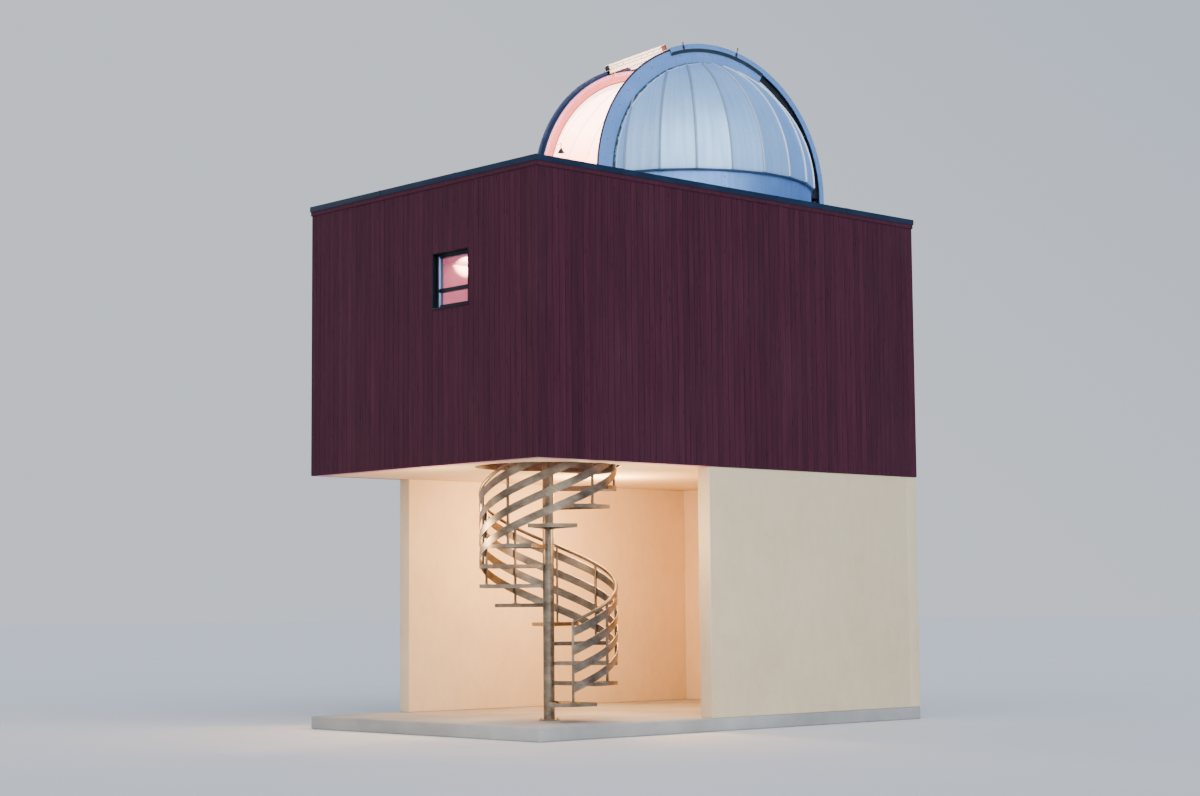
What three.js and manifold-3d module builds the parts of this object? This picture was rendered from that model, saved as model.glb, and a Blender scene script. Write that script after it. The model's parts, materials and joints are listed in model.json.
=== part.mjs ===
// Observatory dome on its square board-clad tower, in millimetres, +Z up.
// The window face of the tower looks along -Y; the origin is at ground level under the tower's centre.
import * as THREE from 'three';
import { mergeVertices } from 'three/addons/utils/BufferGeometryUtils.js';
import Module from 'manifold-3d';

const wasm = await Module();
wasm.setup();

const gap = 0.3;
const turnGap = 0.0004;
const beyond = 10;

// Tower plan and heights
const halfWidth = 2072;
const halfLength = 3152;
const wallThick = 140;
const lowerWallThick = 200;
const slabTop = 150;
const slabInset = 12;
const boxBottom = 3000;
const upperFloorTop = 3200;
const copingTop = 6265;
const copingFace = 65;
const copingOverhang = 20;
const copingSheet = 22;
const copingInside = 15;
const copingLip = 4;
const roofTop = 5950;
const roofThick = 200;

// Open bays under the boarded box, measured from the front face
const leftBay = 1330;
const rightBay = 2600;

// Window in the front face
const windowLeft = 280;
const windowRight = 910;
const windowBottom = 4765;
const windowTop = 5395;
const frameWidth = 45;
const frameDepth = 70;
const frameSetBack = 55;
const railHeight = 190;
const glassThick = 12;

// Spiral stair
const stairX = 920;
const stairY = -2000;
const poleRadius = 50;
const sleeveRadius = 64;
const stairRadius = 780;
const wellRadius = 835;
const treadCount = 13;
const treadTurn = THREE.MathUtils.degToRad(38);
const treadOverlap = THREE.MathUtils.degToRad(3);
const treadThick = 42;
const stairStart = THREE.MathUtils.degToRad(-40);
const guardHeight = 900;
const guardBar = 95;
const guardBarThick = 8;
const handrailReach = 6;
const guardRows = [110, 315, 520, 725];
const postSize = 28;
const handrail = 42;
const sleeveLap = 4;
const guardStepsPerTread = 2;
const treadSteps = 6;

// Dome
const domeY = halfLength - halfWidth;
const domeTurn = THREE.MathUtils.degToRad(-7.9);
const equator = copingTop + 372;
const sphereRadius = 1705;
const sheet = 8;
const skirtRadius = 1665;
const skirtDrop = 485;
const footFlange = 30;
const goreSteps = 14;
const ringTop = -305;
const ringDepth = 60;
const ringInner = 1500;
const curbOuter = 1620;
const rollerRadius = 26;
const rollerLength = 50;
const rollerCount = 10;
const rollerPlate = 6;
const rollerLift = 4;
const rollerInset = 15;
const forkGap = 5;
const forkHalf = 6;
const forkReach = 16;
const forkRise = 12;
const curbTop = equator + ringTop - ringDepth - rollerPlate - rollerLift - 2 * rollerRadius - 2 * gap;

// Slot, its two girders and the rails behind them
const slotHalf = 620;
const girderOuter = 700;
const girderTop = 1775;
const girderInner = 1500;
const webInner = 1600;
const channelOpen = 40;
const channelEnd = 0.006;
const slotEnd = THREE.MathUtils.degToRad(118);
const crossWidth = THREE.MathUtils.degToRad(3);
const crossTop = 1730;
const crossDrop = 45;
const sillTop = -16;
const sillThick = 40;
const sillInset = 10;
const railInner = 640;
const railOuter = 680;
const railEnd = Math.PI - 0.004;
const railSeat = 2;

// Shutter
const shutterFront = THREE.MathUtils.degToRad(68);
const shutterRear = THREE.MathUtils.degToRad(183);
const shutterHalf = 715;
const shutterOuter = 1791;
const shutterSkirt = 1715;
const ribStep = THREE.MathUtils.degToRad(11.2);
const ribCount = 10;
const ribAngle = THREE.MathUtils.degToRad(0.8);
const ribHalf = 600;
const ribInner = 1738;
const stringerWidth = 20;
const barAngle = THREE.MathUtils.degToRad(1.4);
const frontPlateTop = 1852;
const frontPlateHalf = 660;
const frontPlateLift = 6;
const frontPlateAngle = THREE.MathUtils.degToRad(0.26);
const runnerGap = 1.1;
const runnerWidth = 30;
const frameStart = 0.0002;
const underReach = 60;
const underTurn = 0.1;
const runnerStart = 0.001;

// Hooks on the shutter's side sheets
const hookPlate = 6;
const hookFoot = 1728;
const hookNeck = 12;
const hookWidth = 34;
const hooks = [
  ['shutter_eye', THREE.MathUtils.degToRad(75), 1826],
  ['shutter_hook', THREE.MathUtils.degToRad(102.5), 1852],
];

const arcSteps = 30;
const ringSegments = 72;
const curbSegments = 48;
const wellSegments = 36;
const poleSegments = 24;
const rollerSegments = 12;

const boards = { color: 0x5e1f24, roughness: 0.75, metalness: 0 };
const plaster = { color: 0xd8c49a, roughness: 0.9, metalness: 0 };
const concrete = { color: 0x8f8d87, roughness: 0.9, metalness: 0 };
const darkMetal = { color: 0x1a2028, roughness: 0.45, metalness: 0.6 };
const bronze = { color: 0x3a332c, roughness: 0.5, metalness: 0.8 };
const galvanised = { color: 0xb4bcc4, roughness: 0.45, metalness: 0.8 };
const lining = { color: 0xc9c3b8, roughness: 0.8, metalness: 0 };
const glazing = { color: 0xbfd0d6, roughness: 0.1, metalness: 0 };
const steel = { color: 0x6f757a, roughness: 0.5, metalness: 0.8 };
const nylon = { color: 0xe0ddd2, roughness: 0.6, metalness: 0 };

const tower = new THREE.Group();
tower.name = 'observatory_dome';

const dome = new THREE.Group();
dome.name = 'dome_group';
dome.position.set(0, domeY, equator);
dome.rotation.z = domeTurn;
tower.add(dome);

// One named mesh with its own material
function add(parent, name, geometry, finish) {
  const mesh = new THREE.Mesh(geometry, new THREE.MeshStandardMaterial(finish));
  mesh.name = name;
  parent.add(mesh);
  return mesh;
}

// Closed solid of a geometry, for joining and cutting
function solid(geometry) {
  const bare = new THREE.BufferGeometry();
  bare.setAttribute('position', geometry.getAttribute('position').clone());
  bare.setIndex(geometry.getIndex());
  const merged = mergeVertices(bare, 1e-3);
  return new wasm.Manifold(new wasm.Mesh({
    numProp: 3,
    vertProperties: new Float32Array(merged.getAttribute('position').array),
    triVerts: new Uint32Array(merged.getIndex().array),
  }));
}

// Geometry of a solid
function geometryOf(body) {
  const mesh = body.getMesh();
  const geometry = new THREE.BufferGeometry();
  geometry.setAttribute('position', new THREE.BufferAttribute(new Float32Array(mesh.vertProperties), 3));
  geometry.setIndex(new THREE.BufferAttribute(new Uint32Array(mesh.triVerts), 1));
  geometry.computeVertexNormals();
  return geometry;
}

// Box between two corners
function block(x0, x1, y0, y1, z0, z1) {
  const geometry = new THREE.BoxGeometry(x1 - x0, y1 - y0, z1 - z0);
  geometry.translate((x0 + x1) / 2, (y0 + y1) / 2, (z0 + z1) / 2);
  return geometry;
}

// Round bar along Z, or a disc
function cylinder(radius, z0, z1, segments) {
  const geometry = new THREE.CylinderGeometry(radius, radius, z1 - z0, segments);
  geometry.rotateX(Math.PI / 2);
  geometry.translate(0, 0, (z0 + z1) / 2);
  return geometry;
}

// Solid of revolution about Z from a closed outline of [radius, height]
function turned(outline, segments) {
  const points = outline.map(([radius, height]) => new THREE.Vector2(radius, height));
  const geometry = new THREE.LatheGeometry([...points, points[0].clone()], segments);
  geometry.rotateX(Math.PI / 2);
  return geometry;
}

// Ring about Z with a rectangular section
function ring(inner, outer, z0, z1, segments) {
  return turned([[inner, z0], [outer, z0], [outer, z1], [inner, z1]], segments);
}

// Outline in the slot's plane, pushed out along X between x0 and x1
// The outline's first axis runs to the front and its second axis runs up
function pushed(shape, x0, x1, steps = arcSteps) {
  const push = { depth: x1 - x0, bevelEnabled: false, curveSegments: steps };
  const geometry = new THREE.ExtrudeGeometry(shape, push);
  const toFront = new THREE.Vector3(0, -1, 0);
  const up = new THREE.Vector3(0, 0, 1);
  const side = new THREE.Vector3(-1, 0, 0);
  geometry.applyMatrix4(new THREE.Matrix4().makeBasis(toFront, up, side));
  geometry.translate(x1, 0, 0);
  return geometry;
}

// Part of a ring in the slot's plane, between two radii and two angles up from the front
function arch(inner, outer, from, to, x0, x1, steps = arcSteps) {
  const shape = new THREE.Shape();
  shape.absarc(0, 0, outer, from, to, false);
  shape.absarc(0, 0, inner, to, from, true);
  shape.closePath();
  return pushed(shape, x0, x1, steps);
}

// Copy on the other side of the slot
function mirrored(geometry) {
  const copy = geometry.clone();
  copy.scale(-1, 1, 1);
  const index = copy.getIndex();
  for (let i = 0; i < index.count; i += 3) {
    const first = index.getX(i);
    index.setX(i, index.getX(i + 1));
    index.setX(i + 1, first);
  }
  copy.computeVertexNormals();
  return copy;
}

function addGroundStorey() {
  const x = halfWidth;
  const y = halfLength;
  const wallTop = boxBottom - gap;
  const edgeX = x - slabInset;
  const edgeY = y - slabInset;
  const roomX = x - lowerWallThick;
  const roomY = y - lowerWallThick;
  add(tower, 'floor_slab', block(-edgeX, edgeX, -edgeY, edgeY, 0, slabTop), concrete);
  const left = block(-edgeX, -roomX, -y + leftBay, roomY, slabTop, wallTop);
  const right = block(roomX, edgeX, -y + rightBay, roomY, slabTop, wallTop);
  const rear = block(-edgeX, edgeX, roomY, edgeY, slabTop, wallTop);
  add(tower, 'lower_left_wall', left, plaster);
  add(tower, 'lower_right_wall', right, plaster);
  add(tower, 'lower_rear_wall', rear, plaster);
}

function addUpperFloor() {
  const x = halfWidth - wallThick - gap;
  const y = halfLength - wallThick - gap;
  const deck = solid(block(-x, x, -y, y, boxBottom, upperFloorTop));
  const well = cylinder(wellRadius, boxBottom - beyond, upperFloorTop + beyond, wellSegments);
  well.translate(stairX, stairY, 0);
  add(tower, 'upper_floor', geometryOf(deck.subtract(solid(well))), lining);
}

function addBoardedBox() {
  const x = halfWidth;
  const y = halfLength;
  const top = copingTop - copingSheet - gap;
  const front = -y + wallThick;
  add(tower, 'front_wall_left', block(-x, windowLeft, -y, front, boxBottom, top), boards);
  add(tower, 'front_wall_right', block(windowRight, x, -y, front, boxBottom, top), boards);
  add(tower, 'front_wall_sill', block(windowLeft, windowRight, -y, front, boxBottom, windowBottom), boards);
  add(tower, 'front_wall_head', block(windowLeft, windowRight, -y, front, windowTop, top), boards);
  add(tower, 'upper_left_wall', block(-x, -x + wallThick, front, y - wallThick, boxBottom, top), boards);
  add(tower, 'upper_right_wall', block(x - wallThick, x, front, y - wallThick, boxBottom, top), boards);
  add(tower, 'upper_rear_wall', block(-x, x, y - wallThick, y, boxBottom, top), boards);
}

// Folded metal cap over a wall top, with a face down each side and mitred ends
function copingLength(length) {
  const outer = copingOverhang;
  const inner = -wallThick - copingInside;
  const cap = solid(block(-length / 2, length / 2, -outer, -inner, copingTop - copingFace, copingTop));
  const hollow = solid(block(-length, length, -outer + copingLip, -inner - copingLip, 0,
    copingTop - copingSheet));
  const body = cap.subtract(hollow);
  const mitre = new THREE.Shape();
  const deep = outer - inner;
  mitre.moveTo(-length / 2, -outer);
  mitre.lineTo(length / 2, -outer);
  mitre.lineTo(length / 2 - deep - gap, deep - outer);
  mitre.lineTo(-length / 2 + deep + gap, deep - outer);
  mitre.closePath();
  const cutter = new THREE.ExtrudeGeometry(mitre, { depth: copingTop + beyond, bevelEnabled: false });
  return geometryOf(body.intersect(solid(cutter)));
}

function addCoping() {
  const reachX = halfWidth + copingOverhang;
  const reachY = halfLength + copingOverhang;
  const sides = [
    ['coping_front', 0, -halfLength, 0, reachX * 2],
    ['coping_right', halfWidth, 0, Math.PI / 2, reachY * 2],
    ['coping_rear', 0, halfLength, Math.PI, reachX * 2],
    ['coping_left', -halfWidth, 0, -Math.PI / 2, reachY * 2],
  ];
  for (const [name, x, y, turn, length] of sides) {
    const piece = add(tower, name, copingLength(length - gap * 2), darkMetal);
    piece.position.set(x, y, 0);
    piece.rotation.z = turn;
  }
}

function addWindow() {
  const y0 = -halfLength + frameSetBack;
  const y1 = y0 + frameDepth;
  const x0 = windowLeft + gap;
  const x1 = windowRight - gap;
  const z0 = windowBottom + gap;
  const z1 = windowTop - gap;
  const w = frameWidth;
  const rail = z0 + railHeight;
  const lights = [[z0 + w, rail], [rail + w, z1 - w]];
  let frame = solid(block(x0, x1, y0, y1, z0, z1));
  lights.forEach(([low, high], i) => {
    frame = frame.subtract(solid(block(x0 + w, x1 - w, y0 - beyond, y1 + beyond, low, high)));
    const mid = (y0 + y1) / 2;
    const pane = block(x0 + w + gap, x1 - w - gap, mid, mid + glassThick, low + gap, high - gap);
    add(tower, i === 0 ? 'window_glass_lower' : 'window_glass_upper', pane, glazing);
  });
  add(tower, 'window_frame', geometryOf(frame), darkMetal);
}

// Wedge of a ring about Z between two angles
function wedge(inner, outer, from, to, z0, z1, steps) {
  const shape = new THREE.Shape();
  shape.absarc(0, 0, outer, from, to, false);
  shape.absarc(0, 0, inner, to, from, true);
  shape.closePath();
  const push = { depth: z1 - z0, bevelEnabled: false, curveSegments: steps };
  const geometry = new THREE.ExtrudeGeometry(shape, push);
  geometry.translate(0, 0, z0);
  return geometry;
}

// Bar with an upright rectangular section that climbs round the stair
function helix(inner, outer, lift, height, turns, rise, steps) {
  const corners = [];
  const faces = [];
  for (let i = 0; i <= steps; i += 1) {
    const angle = stairStart + (turns * i) / steps;
    const z = slabTop + lift + (rise * i) / steps;
    for (const [radius, dz] of [[inner, 0], [outer, 0], [outer, height], [inner, height]]) {
      corners.push(radius * Math.cos(angle), radius * Math.sin(angle), z + dz);
    }
  }
  for (let i = 0; i < steps; i += 1) {
    for (let k = 0; k < 4; k += 1) {
      const a = i * 4 + k;
      const b = i * 4 + ((k + 1) % 4);
      faces.push(a, b + 4, b, a, a + 4, b + 4);
    }
  }
  const last = steps * 4;
  faces.push(0, 1, 2, 0, 2, 3, last, last + 2, last + 1, last, last + 3, last + 2);
  const geometry = new THREE.BufferGeometry();
  geometry.setAttribute('position', new THREE.Float32BufferAttribute(corners, 3));
  geometry.setIndex(faces);
  return geometry;
}

function addStair() {
  const stair = new THREE.Group();
  stair.name = 'stair_group';
  stair.position.set(stairX, stairY, 0);
  tower.add(stair);
  const riser = (upperFloorTop - slabTop) / (treadCount + 1);
  const pole = cylinder(poleRadius, slabTop, upperFloorTop + guardHeight, poleSegments);
  add(stair, 'stair_pole', pole, bronze);
  let flight = solid(ring(poleRadius + gap, sleeveRadius, slabTop, upperFloorTop, poleSegments));
  let guard = null;
  const join = (geometry) => {
    guard = guard ? guard.add(solid(geometry)) : solid(geometry);
  };
  for (let i = 1; i <= treadCount + 1; i += 1) {
    const from = stairStart + (i - 1) * treadTurn;
    const top = slabTop + i * riser;
    const tread = wedge(sleeveRadius - sleeveLap, stairRadius, from, from + treadTurn + treadOverlap,
      top - treadThick, top, treadSteps);
    flight = flight.add(solid(tread));
    const post = block(stairRadius - postSize, stairRadius, -postSize / 2, postSize / 2,
      top + gap, top + guardHeight);
    post.rotateZ(from + treadTurn / 2);
    join(post);
  }
  const turns = treadTurn * treadCount;
  const rise = riser * treadCount;
  const steps = treadCount * guardStepsPerTread;
  const side = stairRadius - postSize;
  for (const lift of guardRows) {
    join(helix(stairRadius - guardBarThick, stairRadius, riser + lift, guardBar, turns, rise, steps)
      .rotateZ(treadTurn / 2));
  }
  join(helix(side - handrailReach, stairRadius + handrailReach, riser + guardHeight - handrail, handrail,
    turns, rise, steps).rotateZ(treadTurn / 2));
  add(stair, 'stair_treads', geometryOf(flight), bronze);
  add(stair, 'stair_guard', geometryOf(guard), bronze);
}

// Flat roof with a round well under the dome, and the ring the dome runs on
function addRoofAndCurb() {
  const x = halfWidth - wallThick - gap;
  const y = halfLength - wallThick - gap;
  const deck = solid(block(-x, x, -y, y, roofTop - roofThick, roofTop));
  const well = cylinder(ringInner, roofTop - roofThick - beyond, roofTop + beyond, curbSegments);
  well.translate(0, domeY, 0);
  add(tower, 'roof_deck', geometryOf(deck.subtract(solid(well))), lining);
  const upstand = ring(ringInner, curbOuter, roofTop + gap, curbTop, curbSegments);
  const curb = add(tower, 'dome_curb', upstand, lining);
  curb.position.y = domeY;
  const rollers = add(tower, 'dome_rollers', rollerRing(), steel);
  rollers.position.y = domeY;
}

// Rollers in forks on one flat ring
function rollerRing() {
  const low = curbTop + gap;
  const middle = (ringInner + curbOuter) / 2;
  const axle = low + rollerPlate + rollerLift + rollerRadius;
  const plateInner = ringInner + rollerInset;
  const plateOuter = curbOuter - rollerInset;
  let body = solid(ring(plateInner, plateOuter, low, low + rollerPlate, curbSegments));
  for (let i = 0; i < rollerCount; i += 1) {
    const turn = (i * 2 * Math.PI) / rollerCount;
    const wheel = new THREE.CylinderGeometry(rollerRadius, rollerRadius, rollerLength, rollerSegments);
    wheel.rotateZ(Math.PI / 2);
    wheel.translate(middle, 0, axle);
    const parts = [wheel];
    for (const side of [-1, 1]) {
      const x = middle + side * (rollerLength / 2 + forkGap);
      parts.push(block(x - forkHalf, x + forkHalf, -forkReach, forkReach, low + rollerPlate / 2,
        axle + forkRise));
    }
    for (const part of parts) {
      part.rotateZ(turn);
      body = body.add(solid(part));
    }
  }
  return geometryOf(body);
}

// Cylinder wall under the gores, open in front between the girder legs
function addSkirt() {
  const base = ring(ringInner, skirtRadius - sheet - gap, ringTop - ringDepth, ringTop, ringSegments);
  add(dome, 'base_ring', base, steel);
  const wall = solid(ring(skirtRadius - sheet, skirtRadius, -skirtDrop, -gap, ringSegments));
  const reach = girderOuter + gap;
  const bay = solid(block(-reach, reach, -2 * skirtRadius, 0, ringTop, beyond));
  add(dome, 'dome_skirt', geometryOf(wall.subtract(bay)), galvanised);
}

// Sphere shell with a flange at its foot, cut into the pieces beside and behind the slot
function addGores() {
  const inner = sphereRadius - sheet;
  const foot = skirtRadius - footFlange;
  const outline = [[foot, 0], [sphereRadius, 0]];
  const lifts = Array.from({ length: goreSteps }, (_, i) => (Math.PI / 2) * ((i + 1) / goreSteps));
  const reach = (radius, lift) => (lift === Math.PI / 2 ? 0 : radius * Math.cos(lift));
  const point = (radius, lift) => [reach(radius, lift), radius * Math.sin(lift)];
  outline.push(...lifts.map((lift) => point(sphereRadius, lift)));
  outline.push(...lifts.reverse().map((lift) => point(inner, lift)));
  outline.push([Math.sqrt(inner * inner - sheet * sheet), sheet], [foot, sheet]);
  const shell = solid(turned(outline, ringSegments));
  const far = 2 * sphereRadius;
  const edge = girderOuter + gap;
  const right = shell.intersect(solid(block(edge, far, -far, far, -beyond, far)));
  const left = shell.intersect(solid(block(-far, -edge, -far, far, -beyond, far)));
  const behind = new THREE.Shape();
  const start = slotEnd + turnGap;
  behind.moveTo(0, -beyond);
  behind.lineTo(0, 0);
  behind.lineTo(far * Math.cos(start), far * Math.sin(start));
  behind.lineTo(-far, far);
  behind.lineTo(-far, -beyond);
  behind.closePath();
  const rear = shell.intersect(solid(pushed(behind, -girderOuter, girderOuter)));
  add(dome, 'gores_right', geometryOf(right), galvanised);
  add(dome, 'gores_left', geometryOf(left), galvanised);
  add(dome, 'gores_rear', geometryOf(rear), galvanised);
}

// Folded channel along one side of the slot, open towards the inside of the dome
function girder() {
  const outline = (inner, outer, low, end) => {
    const shape = new THREE.Shape();
    shape.moveTo(inner, low);
    shape.lineTo(outer, low);
    shape.absarc(0, 0, outer, 0, end, false);
    shape.absarc(0, 0, inner, end, 0, true);
    shape.closePath();
    return shape;
  };
  const whole = outline(girderInner, girderTop, ringTop + gap, slotEnd);
  const body = solid(pushed(whole, slotHalf, girderOuter));
  const opened = outline(girderInner - channelOpen, girderTop - sheet, ringTop + sheet, slotEnd - channelEnd);
  const core = solid(pushed(opened, slotHalf + sheet, girderOuter - sheet));
  const shorter = outline(girderInner - channelOpen, webInner, ringTop, slotEnd + channelEnd);
  const slotSide = solid(pushed(shorter, slotHalf - sheet, slotHalf + 2 * sheet));
  return body.subtract(core).subtract(slotSide);
}

function addSlot() {
  const right = geometryOf(girder());
  add(dome, 'girder_right', right, galvanised);
  add(dome, 'girder_left', mirrored(right), galvanised);
  const edge = slotHalf - gap;
  const cross = arch(sphereRadius - crossDrop, crossTop, slotEnd - crossWidth, slotEnd, -edge, edge, 2);
  add(dome, 'slot_rear_cross', cross, galvanised);
  const reach = skirtRadius - sillInset;
  const front = block(-edge, edge, -reach, -reach + sillThick, ringTop + gap, sillTop);
  add(dome, 'slot_sill', front, galvanised);
}

// Plates that carry the shutter on behind the slot, standing on the gores
function addRails() {
  const plate = solid(arch(girderInner, girderTop, slotEnd + turnGap, railEnd, railInner, railOuter));
  const ball = new THREE.SphereGeometry(sphereRadius + railSeat, ringSegments, curbSegments);
  const right = geometryOf(plate.subtract(solid(ball)));
  add(dome, 'rear_rail_right', right, darkMetal);
  add(dome, 'rear_rail_left', mirrored(right), darkMetal);
}

// Space under the shutter's panel, with the panel's own facets
function underPanel(clear) {
  const side = shutterHalf - sheet - clear;
  return solid(arch(shutterSkirt - underReach, shutterOuter - sheet - clear, shutterFront - underTurn,
    shutterRear + underTurn, -side, side));
}

// Front bar, cross ribs and the two stringers that tie them, under the panel
function shutterFrame() {
  const from = shutterFront + frameStart;
  let frame = solid(arch(ribInner, shutterOuter, from, from + barAngle, -ribHalf, ribHalf, 1));
  const lid = shutterOuter - sheet - stringerWidth / 4;
  frame = frame.add(solid(arch(lid, shutterOuter, from, from + barAngle, -shutterHalf, shutterHalf, 1)));
  const end = shutterFront + ribCount * ribStep + ribAngle;
  for (let i = 1; i <= ribCount; i += 1) {
    const start = shutterFront + i * ribStep;
    frame = frame.add(solid(arch(ribInner, shutterOuter, start, start + ribAngle, -ribHalf, ribHalf, 1)));
  }
  const low = shutterOuter - sheet - stringerWidth;
  for (const x of [-ribHalf, ribHalf - stringerWidth]) {
    frame = frame.add(solid(arch(low, shutterOuter, from, end, x, x + stringerWidth)));
  }
  return geometryOf(frame.intersect(underPanel(gap)));
}

// Plate across the front edge, standing up past the panel
function frontPlate() {
  const start = shutterFront - frameStart - frontPlateAngle;
  const end = shutterFront - frameStart;
  const low = girderTop + frontPlateLift;
  const wide = solid(arch(low, frontPlateTop, start, end, -frontPlateHalf, frontPlateHalf, 1));
  const deep = solid(arch(ribInner, frontPlateTop, start, end, -ribHalf, ribHalf, 1));
  return geometryOf(wide.add(deep));
}

// Flat foot against the side sheet with a narrow neck that stands up past the panel
function sideHook(angle, top) {
  const near = shutterHalf + gap;
  const far = near + hookPlate;
  const spread = hookWidth / (2 * shutterOuter);
  const slim = hookNeck / (2 * shutterOuter);
  const foot = solid(arch(hookFoot, shutterOuter - sheet, angle - spread, angle + spread, near, far, 2));
  const neck = solid(arch(hookFoot, top, angle - slim, angle + slim, near, far, 2));
  return foot.add(neck);
}

function addShutter() {
  const shutter = new THREE.Group();
  shutter.name = 'shutter_group';
  dome.add(shutter);
  const half = shutterHalf;
  const body = solid(arch(shutterSkirt, shutterOuter, shutterFront, shutterRear, -half, half));
  add(shutter, 'shutter_panel', geometryOf(body.subtract(underPanel(0))), galvanised);
  add(shutter, 'shutter_frame', shutterFrame(), galvanised);
  add(shutter, 'shutter_front_plate', frontPlate(), galvanised);
  const middle = (railInner + railOuter) / 2;
  const runnerFront = shutterFront + barAngle + runnerStart;
  for (const [name, x] of [['shutter_runner_right', middle], ['shutter_runner_left', -middle]]) {
    const strip = solid(arch(girderTop + runnerGap, shutterOuter, runnerFront, shutterRear,
      x - runnerWidth / 2, x + runnerWidth / 2));
    add(shutter, name, geometryOf(strip.intersect(underPanel(gap))), nylon);
  }
  for (const [name, angle, top] of hooks) {
    const right = geometryOf(sideHook(angle, top));
    add(shutter, `${name}_right`, right, darkMetal);
    add(shutter, `${name}_left`, mirrored(right), darkMetal);
  }
}

addGroundStorey();
addUpperFloor();
addBoardedBox();
addCoping();
addWindow();
addStair();
addRoofAndCurb();
addSkirt();
addGores();
addSlot();
addRails();
addShutter();

export default tower;
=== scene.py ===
import json
import math
import random
import bpy
from mathutils import Matrix, Vector


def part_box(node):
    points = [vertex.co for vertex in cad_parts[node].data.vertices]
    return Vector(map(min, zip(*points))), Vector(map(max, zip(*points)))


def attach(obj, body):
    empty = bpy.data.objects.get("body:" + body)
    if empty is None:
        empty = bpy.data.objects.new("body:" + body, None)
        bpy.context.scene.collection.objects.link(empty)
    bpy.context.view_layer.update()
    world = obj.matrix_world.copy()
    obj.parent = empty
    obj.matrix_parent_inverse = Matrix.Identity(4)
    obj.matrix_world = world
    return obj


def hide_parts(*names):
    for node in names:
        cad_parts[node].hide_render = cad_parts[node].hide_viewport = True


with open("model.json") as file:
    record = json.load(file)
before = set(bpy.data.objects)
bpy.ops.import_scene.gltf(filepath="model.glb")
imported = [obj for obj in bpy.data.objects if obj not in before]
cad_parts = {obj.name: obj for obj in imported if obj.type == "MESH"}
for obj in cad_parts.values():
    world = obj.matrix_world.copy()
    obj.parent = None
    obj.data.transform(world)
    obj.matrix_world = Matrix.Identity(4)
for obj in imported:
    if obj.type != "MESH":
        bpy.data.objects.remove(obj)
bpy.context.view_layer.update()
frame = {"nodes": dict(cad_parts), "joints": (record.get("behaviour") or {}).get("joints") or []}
nodes = frame["nodes"]
random.seed(7)

# camera, at the photograph's own standpoint
view = {"stand": (19.64, -18.46, 1.40), "azimuth": 47.3, "pitch": 5.45, "roll": -0.46, "lens": 66.0,
        "farEnd": 300}
bpy.ops.object.select_all(action="DESELECT")
bpy.ops.object.camera_add(location=view["stand"])
camera = bpy.context.object
camera.rotation_euler = (math.radians(90 + view["pitch"]), 0, math.radians(view["azimuth"]))
camera.rotation_euler.rotate_axis("Z", math.radians(view["roll"]))
camera.data.lens = view["lens"]
camera.data.clip_end = view["farEnd"]
bpy.context.scene.camera = camera

# the dome's own axis and the way its slot is turned, off the joints
joints = {joint["name"]: joint for joint in frame["joints"]}
hub = Vector(joints["dome_rotation"]["pos_m"])
across = joints["shutter_travel"]["axis"]
domeTurn = math.atan2(across[1], across[0])
print("camera and frame ready")


class Wire:
    # one socket that takes part in sums
    def __init__(self, paint, socket):
        self.paint = paint
        self.socket = socket

    def math(self, kind, *others):
        return self.paint.node("ShaderNodeMath", dict(enumerate((self, *others))), operation=kind)

    def __add__(self, other):
        return self.math("ADD", other)

    def __sub__(self, other):
        return self.math("SUBTRACT", other)

    def __mul__(self, other):
        return self.math("MULTIPLY", other)

    def __rsub__(self, other):
        return self * -1.0 + other

    __radd__ = __add__
    __rmul__ = __mul__


def setStops(ramp, stops):
    while len(ramp.elements) < len(stops):
        ramp.elements.new(0.5)
    for element, (spot, colour) in zip(ramp.elements, stops):
        element.position = spot
        element.color = (*colour, 1)


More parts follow.
